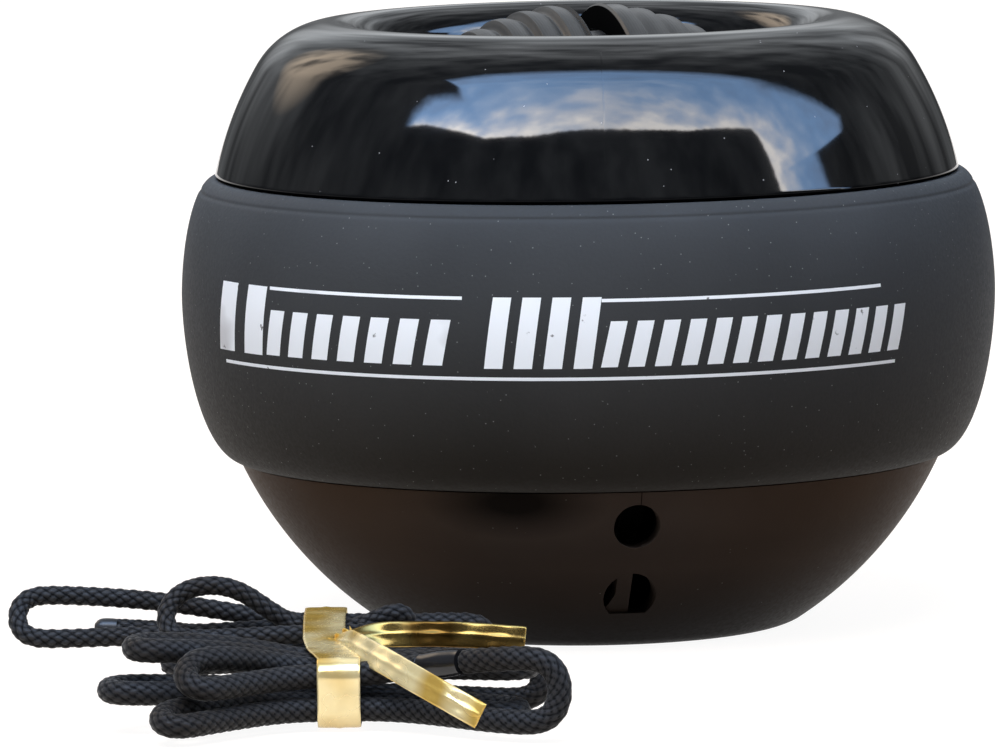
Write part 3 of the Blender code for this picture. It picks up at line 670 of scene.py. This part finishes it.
def runPoints(hank, slot, middle, x, reach, lift):
    # Points of a run at places x: drawn in at the waist and spread beyond it. Its lift grows
    # from the waist to the bend as a parabola: lift * (1 - square of the share still to go).
    form = hankForm
    away = x - hank["waist"][0]
    short = np.abs(x - reach) / (np.abs(reach - hank["waist"][0]) - form["waistHalf"])
    rise = 1 - np.minimum(1.0, short) ** 2
    wide = ease((np.abs(away) - form["waistHalf"]) / form["spreadLength"])
    drift = hank["turn"] * wide * np.where(away > 0, form["rightDrift"], 1.0)
    across = middle[0] + (slot[0] - middle[0]) * (1 + (hank["splay"] - 1) * wide) - drift
    height = slot[1] + (slot[1] - middle[1]) * form["loosening"] * wide + lift * rise
    return np.stack([x + 0 * across, across, height], -1)


def hankRoute(hank):
    # The closed round, a list of runs and bends. A bend is half an ellipse in the slanting
    # plane of the two run ends: centre + arm * cos + outward * depth * sin.
    slots = runSlots(hank)
    middle = np.mean(slots, axis=0)
    half = hank["diameter"] * hankForm["bendDepth"]
    parts = []
    for i, slot in enumerate(slots):
        side = -1 if i % 2 == 0 else 1
        before, here = hank["bends"][i - 1], hank["bends"][i]
        endX = here[0] - side * half
        x = np.linspace(before[0] + side * half, endX, hankForm["runPoints"])
        near = (x - hank["waist"][0]) * side > 0
        reach, lift = np.where(near, here[0], before[0]), np.where(near, here[1], before[2])
        run = runPoints(hank, slot, middle, x, reach, lift)
        after = runPoints(hank, slots[(i + 1) % len(slots)], middle, np.array([endX]), here[0], here[2])[0]
        centre, arm = (run[-1] + after) / 2, (run[-1] - after) / 2
        angle = np.pi * np.arange(1, hankForm["bendPoints"] + 1)[:, None] / (hankForm["bendPoints"] + 1)
        parts += [run, centre + arm * np.cos(angle) + np.array([side * half, 0, 0]) * np.sin(angle)]
    return parts


def starterRoute():
    # Open at the first bend: the hidden end starts a little inside the hank. One run arches up.
    parts = hankRoute(starter)
    place, half, height = starter["arch"]
    arched = parts[2 * starter["archRun"]]
    arched[:, 2] += height * np.exp(-((arched[:, 0] - place) / half) ** 2)
    return np.concatenate([parts[2][starter["loosePoints"]:]] + parts[3:] + parts[:1])


def strapRoute():
    # The strap's round with its two ends in the sleeve, and the sleeve's own two ends.
    parts = hankRoute(strap)
    first = 2 * hankForm["columns"]
    run, half = parts[first], strap["sleeveLength"] / 2
    clear = half + hankForm["gap"]
    left = run[run[:, 0] < strap["sleeveX"] - clear - strap["sleeveClear"]]
    right = run[run[:, 0] > strap["sleeveX"] + clear + strap["sleeveClear"]]
    base, axis = (right[-1] + left[0]) / 2, unit(left[0] - right[-1])
    middle = base + axis * axis[0] * (strap["sleeveX"] - base[0])
    start, end = middle + axis * clear, middle - axis * clear
    route = np.concatenate([[start], left] + parts[first + 1:] + parts[:first] + [right, [end]])
    return route, middle - axis * half, middle + axis * half


def smoothPath(points, spacing, passes=3, soften=0.0):
    # Corners are cut a few times (each leg gives its quarter points), then equal steps are taken.
    # Softening is a running mean with bell-shaped weights, its width given in millimetres.
    for _ in range(passes):
        legs = np.stack([0.75 * points[:-1] + 0.25 * points[1:], 0.25 * points[:-1] + 0.75 * points[1:]], 1)
        points = np.concatenate([points[:1], legs.reshape(-1, 3), points[-1:]])
    walked = walkedTo(points)
    at = np.linspace(0, walked[-1], max(2, int(round(walked[-1] / spacing))) + 1)
    path = np.stack([np.interp(at, walked, points[:, k]) for k in range(3)], -1)
    if soften:
        reach = int(3 * soften / spacing)
        weights = np.exp(-0.5 * (np.arange(-reach, reach + 1) * spacing / soften) ** 2)
        weights /= weights.sum()
        longer = np.concatenate([2 * path[0] - path[reach:0:-1], path, 2 * path[-1] - path[-2:-reach - 2:-1]])
        path = np.stack([np.convolve(longer[:, k], weights, "valid") for k in range(3)], -1)
    return path, at


def tangentsOf(path, closed=False):
    if closed:
        return unit(np.roll(path, -1, axis=0) - np.roll(path, 1, axis=0))
    return unit(np.gradient(path, axis=0))


def sidesOf(path, lead=(0.0, 0.3, 1.0)):
    # A side and an up direction at each point, carried along without twist. The first side is
    # square to the lead.
    tangent = tangentsOf(path)
    side = np.cross(tangent[0], lead)
    sides = []
    for way in tangent:
        side = unit(side - way * side.dot(way))
        sides.append(side)
    return np.array(sides), np.cross(tangent, sides)


def braidHeight(along, around, strands, pitch):
    # Two families of strands climb the cord in opposite turns and cross in diamonds. In every
    # second diamond the left family lies on top, in the others the right one: the height is a
    # round ridge across the upper strand that dips where it goes under its neighbours.
    left = along / pitch + around * strands / (2 * np.pi)
    right = along / pitch - around * strands / (2 * np.pi)
    leftOver = (np.round(left) + np.round(right)) % 2 == 0
    ridges = np.abs(np.cos(np.pi * left)), np.abs(np.cos(np.pi * right))
    upper, lower = np.where(leftOver, *ridges), np.where(leftOver, *ridges[::-1])
    return upper ** hankForm["ridgePower"] * lower ** hankForm["dipPower"]


def tubeMesh(name, path, radii, columns=40, **form):
    # Ring points = centre + (side * cos + up * sin) * radius, one radius for each ring or for
    # each of its points.
    rings = np.asarray(radii).reshape(len(path), -1, 1) * ringOf(columns, *sidesOf(path))
    return gridMesh(name, path[:, None] + rings, capEnds=True, **form)


def cordMesh(name, route, hank):
    # A tube whose radius is swollen by the braid.
    path, at = smoothPath(route, hank["spacing"], soften=hankForm["soften"])
    height = braidHeight(at[:, None], fullTurn(hank["columns"]), hank["strands"], hank["pitch"])
    radii = hank["diameter"] / 2 * (1 - hank["relief"] + hank["relief"] * height)
    return tubeMesh(name, path, radii, hank["columns"], sharp=0, weave=height), path, at[-1]


def buildStarterCord():
    cord, path, length = cordMesh("starter_cord", starterRoute(), starter)
    dress(cord, braidBlack("cordBraid", starter["colour"]), stands=["starter_cord_hank"])
    share = np.linspace(0, 1, len(starter["tipShape"]))
    reach = starter["tipStart"] + (hankForm["gap"] + starter["tipLength"]) * share
    tipPath = path[-1] + unit(path[-1] - path[-3]) * reach[:, None]
    tip = tubeMesh("starter_tip", tipPath, starter["diameter"] / 2 * np.array(starter["tipShape"]))
    dress(tip, plainFinish("cordEnd"), stands=["starter_cord_tip"])
    print("stage: starter cord", round(length, 1))


def buildStrap():
    route, sleeveStart, sleeveEnd = strapRoute()
    loop, path, length = cordMesh("wrist_strap", route, strap)
    dress(loop, braidBlack("strapBraid", strap["colour"]), stands=["wrist_strap_hank"])
    share = np.linspace(0, 1, 25)
    line = sleeveStart + (sleeveEnd - sleeveStart) * share[:, None]
    belly = 1 - strap["sleeveWaist"] * np.cos(np.pi * share) ** 8 - strap["sleeveWave"] * np.sin(9 * share)
    sleeve = tubeMesh("sleeve", line, strap["sleeveD"] / 2 * belly)
    dress(sleeve, plainFinish("shrinkSleeve"), stands=["strap_sleeve"])
    print("stage: wrist strap", round(length, 1))


tie = {
    "width": 3.6, "thick": 0.3, "foil": 0.14, "tailWidth": 2.2, "knot": (-21.7, -57.7, 6.1), "skew": 1.4,
    # how much the foil waves, how fast along the strip, and its middle ridge (a groove below 0)
    "bandFold": (0.008, 1.3, -0.06), "tailFold": (0.045, 0.6, 0.07),
    "ridgeWide": 0.16,  # share of the half width
    # the foil's waves: strength, turn along the strip, turn across it
    "waves": [(1.0, 1.9, 1.4), (0.7, 3.7, -2.1), (0.5, 0.9, 0.0)],
    "facePoints": 17, "edgeThin": 0.7, "edgePower": 10,  # how much thinner the section's edges are
    "upper": [(0, 0, 0), (2.0, 0.9, 0.4), (5.0, 1.9, 0.3), (9.0, 2.6, 0.2), (13.0, 2.8, -0.1),
              (16.0, 2.7, -0.4)],
    "lower": [(0, 0, 0), (1.2, -4.5, 0.6), (2.4, -8.7, 0.5), (4.4, -14.2, 0.2), (6.7, -17.8, -0.7),
              (9.6, -20.6, -2.0), (12.4, -22.3, -3.4)],
    # the tail's direction across at the knot, what it turns towards, by how much
    "upperTurn": ((0, 1, 0.5), (0, 0.15, 1), 1.4), "lowerTurn": ((0.45, 0.1, 0.9), (0, 0, 1), 0.0),
    "turnLength": 6.0, "narrow": 0.6, "narrowLength": 4.0,
    "twistWidth": 1.2, "twistThick": 0.45, "twistHalf": 1.7, "twistLean": 58.0, "twistTurn": 7.0,
    "twistPoints": 80,
    # how metallic the foil is, its pale and its deep tint; back is a darker copy of the same foil, with
    # painted shade, for the upper tail
    "gold": (0.6, (1.0, 0.82, 0.44), (0.72, 0.46, 0.10)),
    "back": (0.95, (0.38, 0.26, 0.08), (0.13, 0.07, 0.015)),
}


def tiePath():
    # Round both hanks at their waists: arcs about the outer runs, one gap away from them.
    reach = hankForm["gap"] + tie["thick"] / 2
    back, front = runSlots(starter), runSlots(strap)
    rear, fore = starter["diameter"] / 2 + reach, strap["diameter"] / 2 + reach
    rearX, foreX = starter["waist"][0], strap["waist"][0]
    columns = hankForm["columns"]
    # place along the hanks, middle, radius, first and last angle, steps (0 for one point alone)
    corners = [(foreX, front[columns], fore, 180, 90, 6), (foreX - tie["skew"], front[-1], fore, 90, 90, 0),
               (rearX, back[columns], rear, 93, 90, 0), (rearX, back[-1], rear, 90, 0, 6),
               (rearX, back[0], rear, 0, -85, 6), (foreX, front[0], fore, -85, -90, 1),
               (foreX, front[columns - 1], fore, 270, 180, 6)]
    path = []
    for x, centre, radius, start, end, count in corners:
        flat = arc(centre, radius, start, end, max(count, 1))[:count + 1]
        path.append(np.concatenate([np.full((len(flat), 1), x), flat], 1))
    return np.concatenate(path)


def stripMesh(name, path, width, across, thick, fold=(0.0, 1.0, 0.0), closed=False):
    # A thin rounded section carried along the path. Both faces share one crinkle, a sum of
    # waves, and one ridge (or groove) along the middle.
    crinkle, pace, ridge = fold
    tangent = tangentsOf(path, closed)
    across = unit(across - tangent * np.sum(across * tangent, axis=1)[:, None])
    half = np.linspace(-1, 1, tie["facePoints"])
    share = np.concatenate([half, half[::-1]])
    face = np.repeat([1, -1], len(half)) * (1 - tie["edgeThin"] * np.abs(share) ** tie["edgePower"])
    walk = walkedTo(path)[:, None] * pace
    wave = sum(strength * np.sin(along * walk + aside * share) for strength, along, aside in tie["waves"])
    lift = crinkle * wave + thick / 2 * face + ridge * np.exp(-(share / tie["ridgeWide"]) ** 2)
    flat = np.reshape(width, (-1, 1, 1)) * across[:, None] * (share / 2)[:, None]
    points = path[:, None] + flat + np.cross(tangent, across)[:, None] * lift[..., None]
    return gridMesh(name, points, closeRows=closed, capEnds=not closed, sharp=0)


def buildTie():
    gold, back = goldFoil("goldFoil", *tie["gold"]), goldFoil("goldFoilShaded", *tie["back"])
    ring = tiePath()
    path = smoothPath(np.concatenate([ring, ring[:1]]), spacing=0.25, passes=1)[0][:-1]
    across = np.tile([1.0, 0, 0], (len(path), 1))
    loop = stripMesh("tie_band", path, tie["width"], across, tie["foil"], tie["bandFold"], closed=True)
    dress(loop, gold, stands=["twist_tie"])
    knot = np.array(tie["knot"])
    # The upper tail takes the darker copy of the foil, with painted shade.
    for tail, material in (("upper", back), ("lower", gold)):
        first, second, turn = tie[tail + "Turn"]
        path, at = smoothPath(knot + np.array(tie[tail], float), spacing=0.2)
        angle = (turn * ease(at / tie["turnLength"]))[:, None]
        across = np.array(first) * np.cos(angle) + np.array(second) * np.sin(angle)
        width = tie["tailWidth"] * (tie["narrow"] + (1 - tie["narrow"]) * ease(at / tie["narrowLength"]))
        strip = stripMesh("tie_tail_" + tail, path, width, across, tie["foil"], tie["tailFold"])
        dress(strip, material)
    # the twist: a short strip that turns about a leaning axis
    share = np.linspace(-1, 1, tie["twistPoints"])[:, None]
    lean, turn = math.radians(tie["twistLean"]), share * tie["twistTurn"]
    axis, flat = np.array([math.sin(lean), 0, math.cos(lean)]), np.array([0, 1.0, 0])
    across = np.cos(turn) * flat + np.sin(turn) * np.cross(axis, flat)
    path = knot + axis * tie["twistHalf"] * share
    dress(stripMesh("tie_twist", path, tie["twistWidth"], across, tie["twistThick"]), gold)
    print("stage: twist tie")


ball = {
    "gap": 0.3, "seenGap": 0.12, "domeR": 34.2, "domeZ": 33.3, "bowlR": 34.6, "bowlZ": 29.6,
    "wall": 2.2, "floor": 2.0, "rimR": 22.69, "rimZ": 54.5, "shoulderR": 7.9, "throatR": 19.39,
    "throatZ": 49.2, "lipWall": 2.0, "channelR": 33.2, "channelDepth": 1.0, "lap": 2.0, "equatorZ": 29.5,
    "raceR": 31.0, "raceFace": 2.4, "trackHeight": 2.6, "ledgeR": 29.8, "ledgeHeight": 1.3,
    # the lip's end at the throat: shares of its wall outwards, heights above its lowest point
    "lipEnd": [(1.0, 0.4), (0.75, 0.1), (0.5, 0.0), (0.2, 0.15), (0.0, 0.5)],
    "domeEdge": 0.25,  # the round edge of the dome at the belt
    "innerBelow": 1.0, "innerTilt": 8.0,  # how far below the shoulder and round it the inside's two arcs stop
    # the flat foot, where the bowl's round starts, and the two handles of the curve between them:
    # the first out from the foot and up as a share of that start's height, less a drop
    "footR": 15.4, "footRoundR": 18.9, "footHigh": (2.3, 0.35, 0.25), "footLow": 1.4,
}
band = {
    "r": 36.5, "peakZ": 30.0, "topZ": 40.6, "footZ": 15.4, "topDrop": 3.088, "footDrop": 4.948, "power": 1.8,
    "creaseBelow": 1.1, "creaseDepth": 0.10, "creaseWide": 0.16,
}


def buildUpperShell(material):
    b = ball
    wallR, innerR = b["domeR"] - b["wall"], b["raceR"] + b["gap"]
    shoulderZ, lipR = b["rimZ"] - b["shoulderR"], b["rimR"] - b["throatR"]
    lipZ = b["rimZ"] - lipR
    tilt = math.degrees(math.asin((shoulderZ - b["domeZ"]) / (b["domeR"] - b["shoulderR"])))
    seatZ = b["equatorZ"] + b["trackHeight"] / 2 + b["raceFace"] + b["gap"]
    joinZ, channelTop = b["equatorZ"] + b["gap"] / 2, band["topZ"] + b["seenGap"]
    tongue = (b["channelR"] - innerR - b["gap"]) / 2
    topZ = b["domeZ"] + b["domeR"] * math.sin(math.radians(tilt))
    edge = b["domeEdge"]
    edgeZ = channelTop + edge
    profile = [
        arc((b["rimR"], lipZ), lipR, 180, 90, 20),
        arc((b["rimR"], shoulderZ), b["shoulderR"], 90, tilt, 24)[1:],
        sphereSide(b["domeR"], b["domeZ"], topZ, edgeZ, 40)[1:],
        arc((sphereR(b["domeR"], b["domeZ"], edgeZ) - edge, edgeZ), edge, 0, -90, 5)[1:],
        sphereSide(b["domeR"] - b["channelDepth"], b["domeZ"], channelTop, b["domeZ"], 8),
        [(b["channelR"], joinZ), (b["channelR"] - tongue, joinZ), (innerR + tongue, joinZ - b["lap"]),
         (innerR, joinZ - b["lap"]), (innerR, seatZ), (b["ledgeR"], seatZ),
         (b["ledgeR"], seatZ + b["ledgeHeight"]), (innerR, seatZ + b["ledgeHeight"] + innerR - b["ledgeR"])],
        sphereSide(wallR, b["domeZ"], sphereZ(wallR, b["domeZ"], innerR), topZ - b["innerBelow"], 16),
        arc((b["rimR"], shoulderZ), b["shoulderR"] - b["wall"], tilt + b["innerTilt"], 90, 14),
        arc((b["rimR"], lipZ), lipR - b["lipWall"], 90, 180, 8)[1:],
        [(b["throatR"] + b["lipWall"] * out, b["throatZ"] + rise) for out, rise in b["lipEnd"]],
    ]
    dress(turned("dome_shell", profile), material, stands=["upper_shell"])


holes = {
    "azimuth": 7.7, "upperD": 4.05, "upperZ": 12.1, "strapD": 4.6, "strapZ": 5.3, "flat": 1.7,
    "bar": 1.3, "barOffset": 0.6, "barSunk": 0.5,
    "inset": 0.04,  # the two lobes stay this far inside the whole hole
    # the bar's left side: its lowest point, where its flare starts, how much wider it ends, its power
    "lobeFoot": -1.05, "flareTop": 0.3, "flareOut": 0.05, "flarePower": 1.3,
    "depth": 7.0, "clear": 1.5,  # how far a cutter goes in, and out of the wall
    "mouthRound": 0.2, "lobeRound": 0.02,
}


def holeCutter(name, outline, z, depth=holes["depth"], flare=holes["mouthRound"]):
    # An outline in the wall's plane goes into it and flares outwards at the mouth by a quarter
    # round, so that the hole's edge is rounded.
    turn = math.radians(holes["azimuth"])
    out = np.array([math.sin(turn), -math.cos(turn), 0])
    side = np.array([math.cos(turn), math.sin(turn), 0])
    up = np.array([0, 0, 1.0])
    slope = (z - ball["bowlZ"]) / ball["bowlR"]
    flat = math.sqrt(1 - slope ** 2)
    centre = out * ball["bowlR"] * flat + up * z
    outward = unit(outline - outline.mean(axis=0))
    angle = np.radians(np.linspace(0, 90, 8))
    deep = np.concatenate([[-depth], -flare + flare * np.sin(angle), [holes["clear"]]])
    grow = np.concatenate([[0.0], flare - flare * np.cos(angle), [flare + holes["clear"]]])
    shape = outline[None] + outward[None] * grow[:, None, None]
    # the wall leans: a point higher on it stands further out by the bowl's slope
    across, rise = shape[..., 0, None], shape[..., 1, None]
    outside = deep[:, None, None] - slope / flat * rise
    return gridMesh(name, centre + side * across + up * rise + out * outside, capEnds=True)


def strapOutlines():
    # The whole hole is a circle cut flat below. Its left lobe ends at the bar's flaring foot,
    # its right lobe at the bar's straight side.
    h, radius, low = holes, holes["strapD"] / 2, -holes["flat"]
    flat = math.asin(low / radius)
    whole = onCircle(np.linspace(flat, math.pi - flat, 70)) * radius
    across = np.linspace(whole[-1, 0], whole[0, 0], 16)[1:-1]
    base = np.stack([across, 0 * across + low], -1)
    inner, lowest = radius - h["inset"], low + h["inset"]
    left, right = -h["barOffset"] - h["bar"] / 2, -h["barOffset"] + h["bar"] / 2
    leftTop, rightTop = math.acos(left / inner), math.acos(right / inner)
    foot = math.pi - math.asin(h["lobeFoot"] / inner)
    rise = np.linspace(h["lobeFoot"], inner * math.sin(leftTop), 20)[1:-1]
    slant = np.clip((h["flareTop"] - rise) / (h["flareTop"] - h["lobeFoot"]), 0, 1) ** h["flarePower"]
    barSide = left + (inner * math.cos(foot) + h["flareOut"] - left) * slant
    leftLobe = np.concatenate([onCircle(np.linspace(leftTop, foot, 40)) * inner,
                               np.stack([barSide, rise], -1)])
    corner = math.asin(lowest / inner)
    rise = np.linspace(inner * math.sin(rightTop), lowest, 24)[1:]
    across = np.linspace(right, inner * math.cos(corner), 12)[1:-1]
    rightLobe = np.concatenate([
        onCircle(np.linspace(corner, rightTop, 60)) * inner, np.stack([0 * rise + right, rise], -1),
        np.stack([across, 0 * across + lowest], -1)])
    return np.concatenate([whole, base]), leftLobe, rightLobe


def buildLowerShell(material):
    b = ball
    wallR, innerR = b["bowlR"] - b["wall"], b["raceR"] + b["gap"]
    seatZ = b["equatorZ"] - b["trackHeight"] / 2 - b["raceFace"] - b["gap"]
    joinZ = b["equatorZ"] - b["gap"] / 2
    shelfZ, channelFoot = joinZ - b["lap"], band["footZ"] - b["seenGap"]
    tongue = (b["channelR"] - innerR - b["gap"]) / 2
    wallEnd = sphereFoot(wallR, b["bowlZ"], innerR)
    channelStart = sphereFoot(b["bowlR"] - b["channelDepth"], b["bowlZ"], b["channelR"])
    roundTop = sphereFoot(b["bowlR"], b["bowlZ"], b["footRoundR"])
    # from the bowl's round to the flat foot: a cubic curve through two handles
    out, share, drop = b["footHigh"]
    t = np.linspace(0, 1, 14)[1:, None]
    footRound = (1 - t) ** 3 * (b["footRoundR"], roundTop) + t ** 3 * (b["footR"], 0) \
        + 3 * t * (1 - t) ** 2 * (b["footR"] + out, roundTop * share - drop) \
        + 3 * t ** 2 * (1 - t) * (b["footR"] + b["footLow"], 0)
    profile = [
        (0.0, b["floor"]), (sphereR(wallR, b["bowlZ"], b["floor"]), b["floor"]),
        sphereSide(wallR, b["bowlZ"], b["floor"], wallEnd, 24)[1:],
        [(innerR, seatZ - b["ledgeHeight"] - innerR + b["ledgeR"]), (b["ledgeR"], seatZ - b["ledgeHeight"]),
         (b["ledgeR"], seatZ), (innerR, seatZ), (innerR, shelfZ), (innerR + tongue + b["gap"], shelfZ),
         (innerR + tongue + b["gap"], joinZ), (b["channelR"], joinZ)],
        sphereSide(b["bowlR"] - b["channelDepth"], b["bowlZ"], channelStart, channelFoot, 12),
        sphereSide(b["bowlR"], b["bowlZ"], channelFoot, roundTop, 48), footRound, (0.0, 0.0),
    ]
    shell = turned("bowl_shell", profile, closed=False)
    whole, leftLobe, rightLobe = strapOutlines()
    upper = onCircle(fullTurn(72)) * holes["upperD"] / 2
    cutWith(shell, [holeCutter("upperHole", upper, holes["upperZ"]),
                    holeCutter("strapMouth", whole, holes["strapZ"], depth=holes["barSunk"]),
                    holeCutter("strapLeft", leftLobe, holes["strapZ"], flare=holes["lobeRound"]),
                    holeCutter("strapRight", rightLobe, holes["strapZ"], flare=holes["lobeRound"])])
    dress(shell, material, stands=["lower_shell"])


def bandFall(share, drop):
    # A quarter of a superellipse: how far the belt falls in, drop * (1 - sqrt(1 - share ** power)).
    return drop * (1 - np.sqrt(np.clip(1 - share ** band["power"], 0, 1)))


def bandOutside(endZ, drop, count):
    share = np.sin(np.pi / 2 * np.linspace(0, 1, count + 1))
    return np.stack([band["r"] - bandFall(share, drop), band["peakZ"] + (endZ - band["peakZ"]) * share], -1)


def bandRadius(z):
    # The belt's outer radius at heights z, without its crease.
    up = np.clip((z - band["peakZ"]) / (band["topZ"] - band["peakZ"]), 0, 1)
    down = np.clip((band["peakZ"] - z) / (band["peakZ"] - band["footZ"]), 0, 1)
    return band["r"] - bandFall(up, band["topDrop"]) - bandFall(down, band["footDrop"])


def buildBand(material):
    b = ball
    top = bandOutside(band["topZ"], band["topDrop"], 90)
    foot = bandOutside(band["footZ"], band["footDrop"], 60)
    outside = np.concatenate([top[::-1], foot[1:]])
    crease = band["topZ"] - band["creaseBelow"]
    outside[:, 0] -= band["creaseDepth"] * np.exp(-((outside[:, 1] - crease) / band["creaseWide"]) ** 2)
    domeR, bowlR = (b[name] - b["channelDepth"] + b["gap"] for name in ("domeR", "bowlR"))
    bowlStart = sphereFoot(bowlR, b["bowlZ"], b["channelR"] + b["gap"])
    profile = [outside, sphereSide(bowlR, b["bowlZ"], bowlStart, band["footZ"], 10)[::-1],
               sphereSide(domeR, b["domeZ"], band["topZ"], b["domeZ"], 8)[::-1]]
    dress(turned("rubber_band", profile), material, stands=["grip_band"])


marks = {
    "lineWide": 0.29, "raised": 0.012, "sunk": 0.05, "lean": 0.9,
    # azimuths of its ends in degrees from the front, and its height
    "lines": [(-62.0, 47.5, 25.8), (-50.0, -17.5, 32.8), (1.8, 44.5, 32.6)],
    # azimuths of the group's ends, how many bars, their lowest and highest points
    "bars": [(-63.5, -52.0, 2, 26.8, 32.9), (-51.0, -20.5, 7, 26.9, 30.9), (-14.5, 0.4, 4, 26.7, 32.9),
             (1.6, 48.0, 13, 26.8, 30.8)],
    "barShare": 0.62, "sharp": 30,
}


def onBand(azimuth, z, proud):
    # A place on the belt's outside: azimuth in radians from the front towards +X.
    r = bandRadius(z) + proud
    return np.stack([r * np.sin(azimuth), -r * np.cos(azimuth), z], -1)


def markPatch(left, right, low, high, lean=0.0):
    # A thin raised patch of ink between two azimuths and two heights, leaning with height. It
    # has two columns a degree.
    across = np.radians(np.linspace(left, right, max(6, int((right - left) * 2))))
    up = np.linspace(low, high, 8)
    shift = lean / band["r"] * (up - low) / (high - low)
    azimuth = across + shift[:, None]
    z = np.repeat(up[:, None], len(across), 1)
    outer, inner = onBand(azimuth, z, marks["raised"]), onBand(azimuth, z, -marks["sunk"])
    return gridMesh("mark", np.concatenate([outer, inner[:, ::-1]], 1), capEnds=True, sharp=marks["sharp"])


def joinMeshes(name, pieces):
    shape = bmesh.new()
    for piece in pieces:
        shape.from_mesh(piece.data)
    mesh = bpy.data.meshes.new(name)
    shape.to_mesh(mesh)
    shape.free()
    for piece in pieces:
        bpy.data.objects.remove(piece)
    return addObject(name, mesh)


def buildMarks(material):
    half = marks["lineWide"] / 2
    pieces = [markPatch(left, right, z - half, z + half) for left, right, z in marks["lines"]]
    for left, right, count, low, high in marks["bars"]:
        step = (right - left) / (count - 1 + marks["barShare"])
        for start in left + step * np.arange(count):
            pieces.append(markPatch(start, start + step * marks["barShare"], low, high, marks["lean"]))
    dress(joinMeshes("printed_marks", pieces), material)
    print("stage: shells, band and print")


rotor = {
    "r": 26.3, "half": 24.9, "end": 20.5, "wall": 2.2, "groove": 3.0, "grooveDepth": 2.4, "yaw": 12.7,
    # the covers' rings: how far apart and deep, how much deeper each next one is, where the step
    # starts in each, and the edge round at the groove
    "pitch": 2.3, "ringDepth": 0.55, "ringGrowth": 0.12, "climbEnd": 0.8, "stepStart": 0.82, "edge": 0.3,
    "hubR": 4.0, "hubEnd": 24.4, "hubRound": 0.4, "hubCorner": 0.12, "hubTaper": 0.8,
    "dishDepth": 1.2, "dishRim": (3.0, 1.8),  # how far inside the end's radius the dish and its rim start
    "weightWaist": 9.0, "weightTaper": 14.0, "endShare": 0.42, "weightBack": 1.8, "weightClear": 2.0,
    "rimClear": 0.8,
    "fit": 0.1, "axleD": 3.0, "stringHoleD": 2.4, "stringHoleDepth": 6.0, "stringHoleClear": 3.0, "sharp": 25,
}


def axleWay():
    yaw = math.radians(rotor["yaw"])
    return np.array([math.cos(yaw), math.sin(yaw), 0.0])


def rotorR(along):
    return rotor["r"] * np.sqrt(1 - (np.asarray(along) / rotor["half"]) ** 2)


def coverOutside(start):
    # Stepped rings: in each pitch the surface climbs from a notch in a round swell to the
    # ellipsoid, and falls back in a short step at the end.
    r = rotor
    along = np.linspace(start, r["end"], 150)
    ring, share = np.divmod((along - start) / r["pitch"], 1.0)
    depth = r["ringDepth"] * (1 + r["ringGrowth"] * ring)
    climb = np.clip(1 - share / r["climbEnd"], 0, 1) ** 2
    step = ease((share - r["stepStart"]) / (1 - r["stepStart"]))
    fall = depth * np.where(share < r["stepStart"], climb, step)
    fall = np.where(along < start + r["edge"], r["edge"] - (along - start), fall)
    return np.stack([rotorR(along) - fall, along], -1)


def buildRotor(plastic, weight):
    r, gap, fit = rotor, ball["gap"], rotor["fit"]
    start = r["groove"] / 2
    rimR, floorR = r["r"] - r["wall"] - 2 * gap - r["rimClear"], r["r"] - r["grooveDepth"]
    bore, back = r["axleD"] / 2 + gap, r["end"] - r["weightBack"] - r["wall"]
    taperR, rearR = rotorR(r["weightTaper"]) - r["wall"] - r["weightClear"], r["endShare"] * r["r"]
    axis = np.array([0, 0, ball["equatorZ"]]), axleWay()
    half = np.array([(bore, back), (rearR, back), (taperR, r["weightTaper"]), (rimR, r["weightWaist"]),
                     (rimR, start - gap), (floorR, start - gap)])
    core = turned("rotor_weight", [half, half[::-1] * (1, -1)], steps=192, axis=axis, sharp=r["sharp"])
    # the string hole goes down from the groove's floor
    heights = ball["equatorZ"] + floorR + np.array([-r["stringHoleDepth"], r["stringHoleClear"]])
    ring = onCircle(fullTurn(32)) * r["stringHoleD"] / 2
    hole = np.stack([np.column_stack([ring, np.full(len(ring), height)]) for height in heights])
    cutWith(core, [gridMesh("stringHole", hole, capEnds=True)])
    dress(core, weight, "rotor", ["rotor_core"])
    dish, mouthR = r["end"] - r["dishDepth"], rotorR(r["end"])
    dishR, rimStart = (mouthR - inside for inside in r["dishRim"])
    hubR, hubEnd, edge, corner = r["hubR"], r["hubEnd"], r["hubRound"], r["hubCorner"]
    cover = np.concatenate([
        [(bore, hubEnd), (hubR - edge, hubEnd), (hubR - corner, hubEnd - corner), (hubR, hubEnd - edge),
         (hubR + r["hubTaper"], dish), (dishR, dish), (rimStart, r["end"])],
        coverOutside(start)[::-1],
        [(rimR + gap, start), (rimR + gap, r["weightWaist"] + fit), (taperR + 2 * fit, r["weightTaper"] + gap),
         (rearR + fit, back + gap), (bore, back + gap)]])
    for place, side in (("right", 1), ("left", -1)):
        piece = turned("cover_" + place, [cover * (1, side)], steps=224, axis=axis, sharp=r["sharp"])
        dress(piece, plastic, "rotor", ["rotor_cover_" + place])
    print("stage: rotor")


def paintNodes(material, *names):
    for name in names:
        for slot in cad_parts[name].material_slots:
            slot.material = material


def main():
    addCamera()
    addFloor()
    addLamps()
    addSky()
    buildStarterCord()
    buildStrap()
    buildTie()
    buildUpperShell(glossBlack())
    buildLowerShell(satinBowl())
    buildBand(bandRubber())
    buildMarks(whiteInk())
    buildRotor(rotorSatin(), plainFinish("weightMetal"))
    paintNodes(plainFinish("acetal"), "race_upper", "race_lower")
    paintNodes(plainFinish("nylon"), "cradle_ring", "axle_washer_left", "axle_washer_right")
    paintNodes(plainFinish("steel"), "axle")


main()
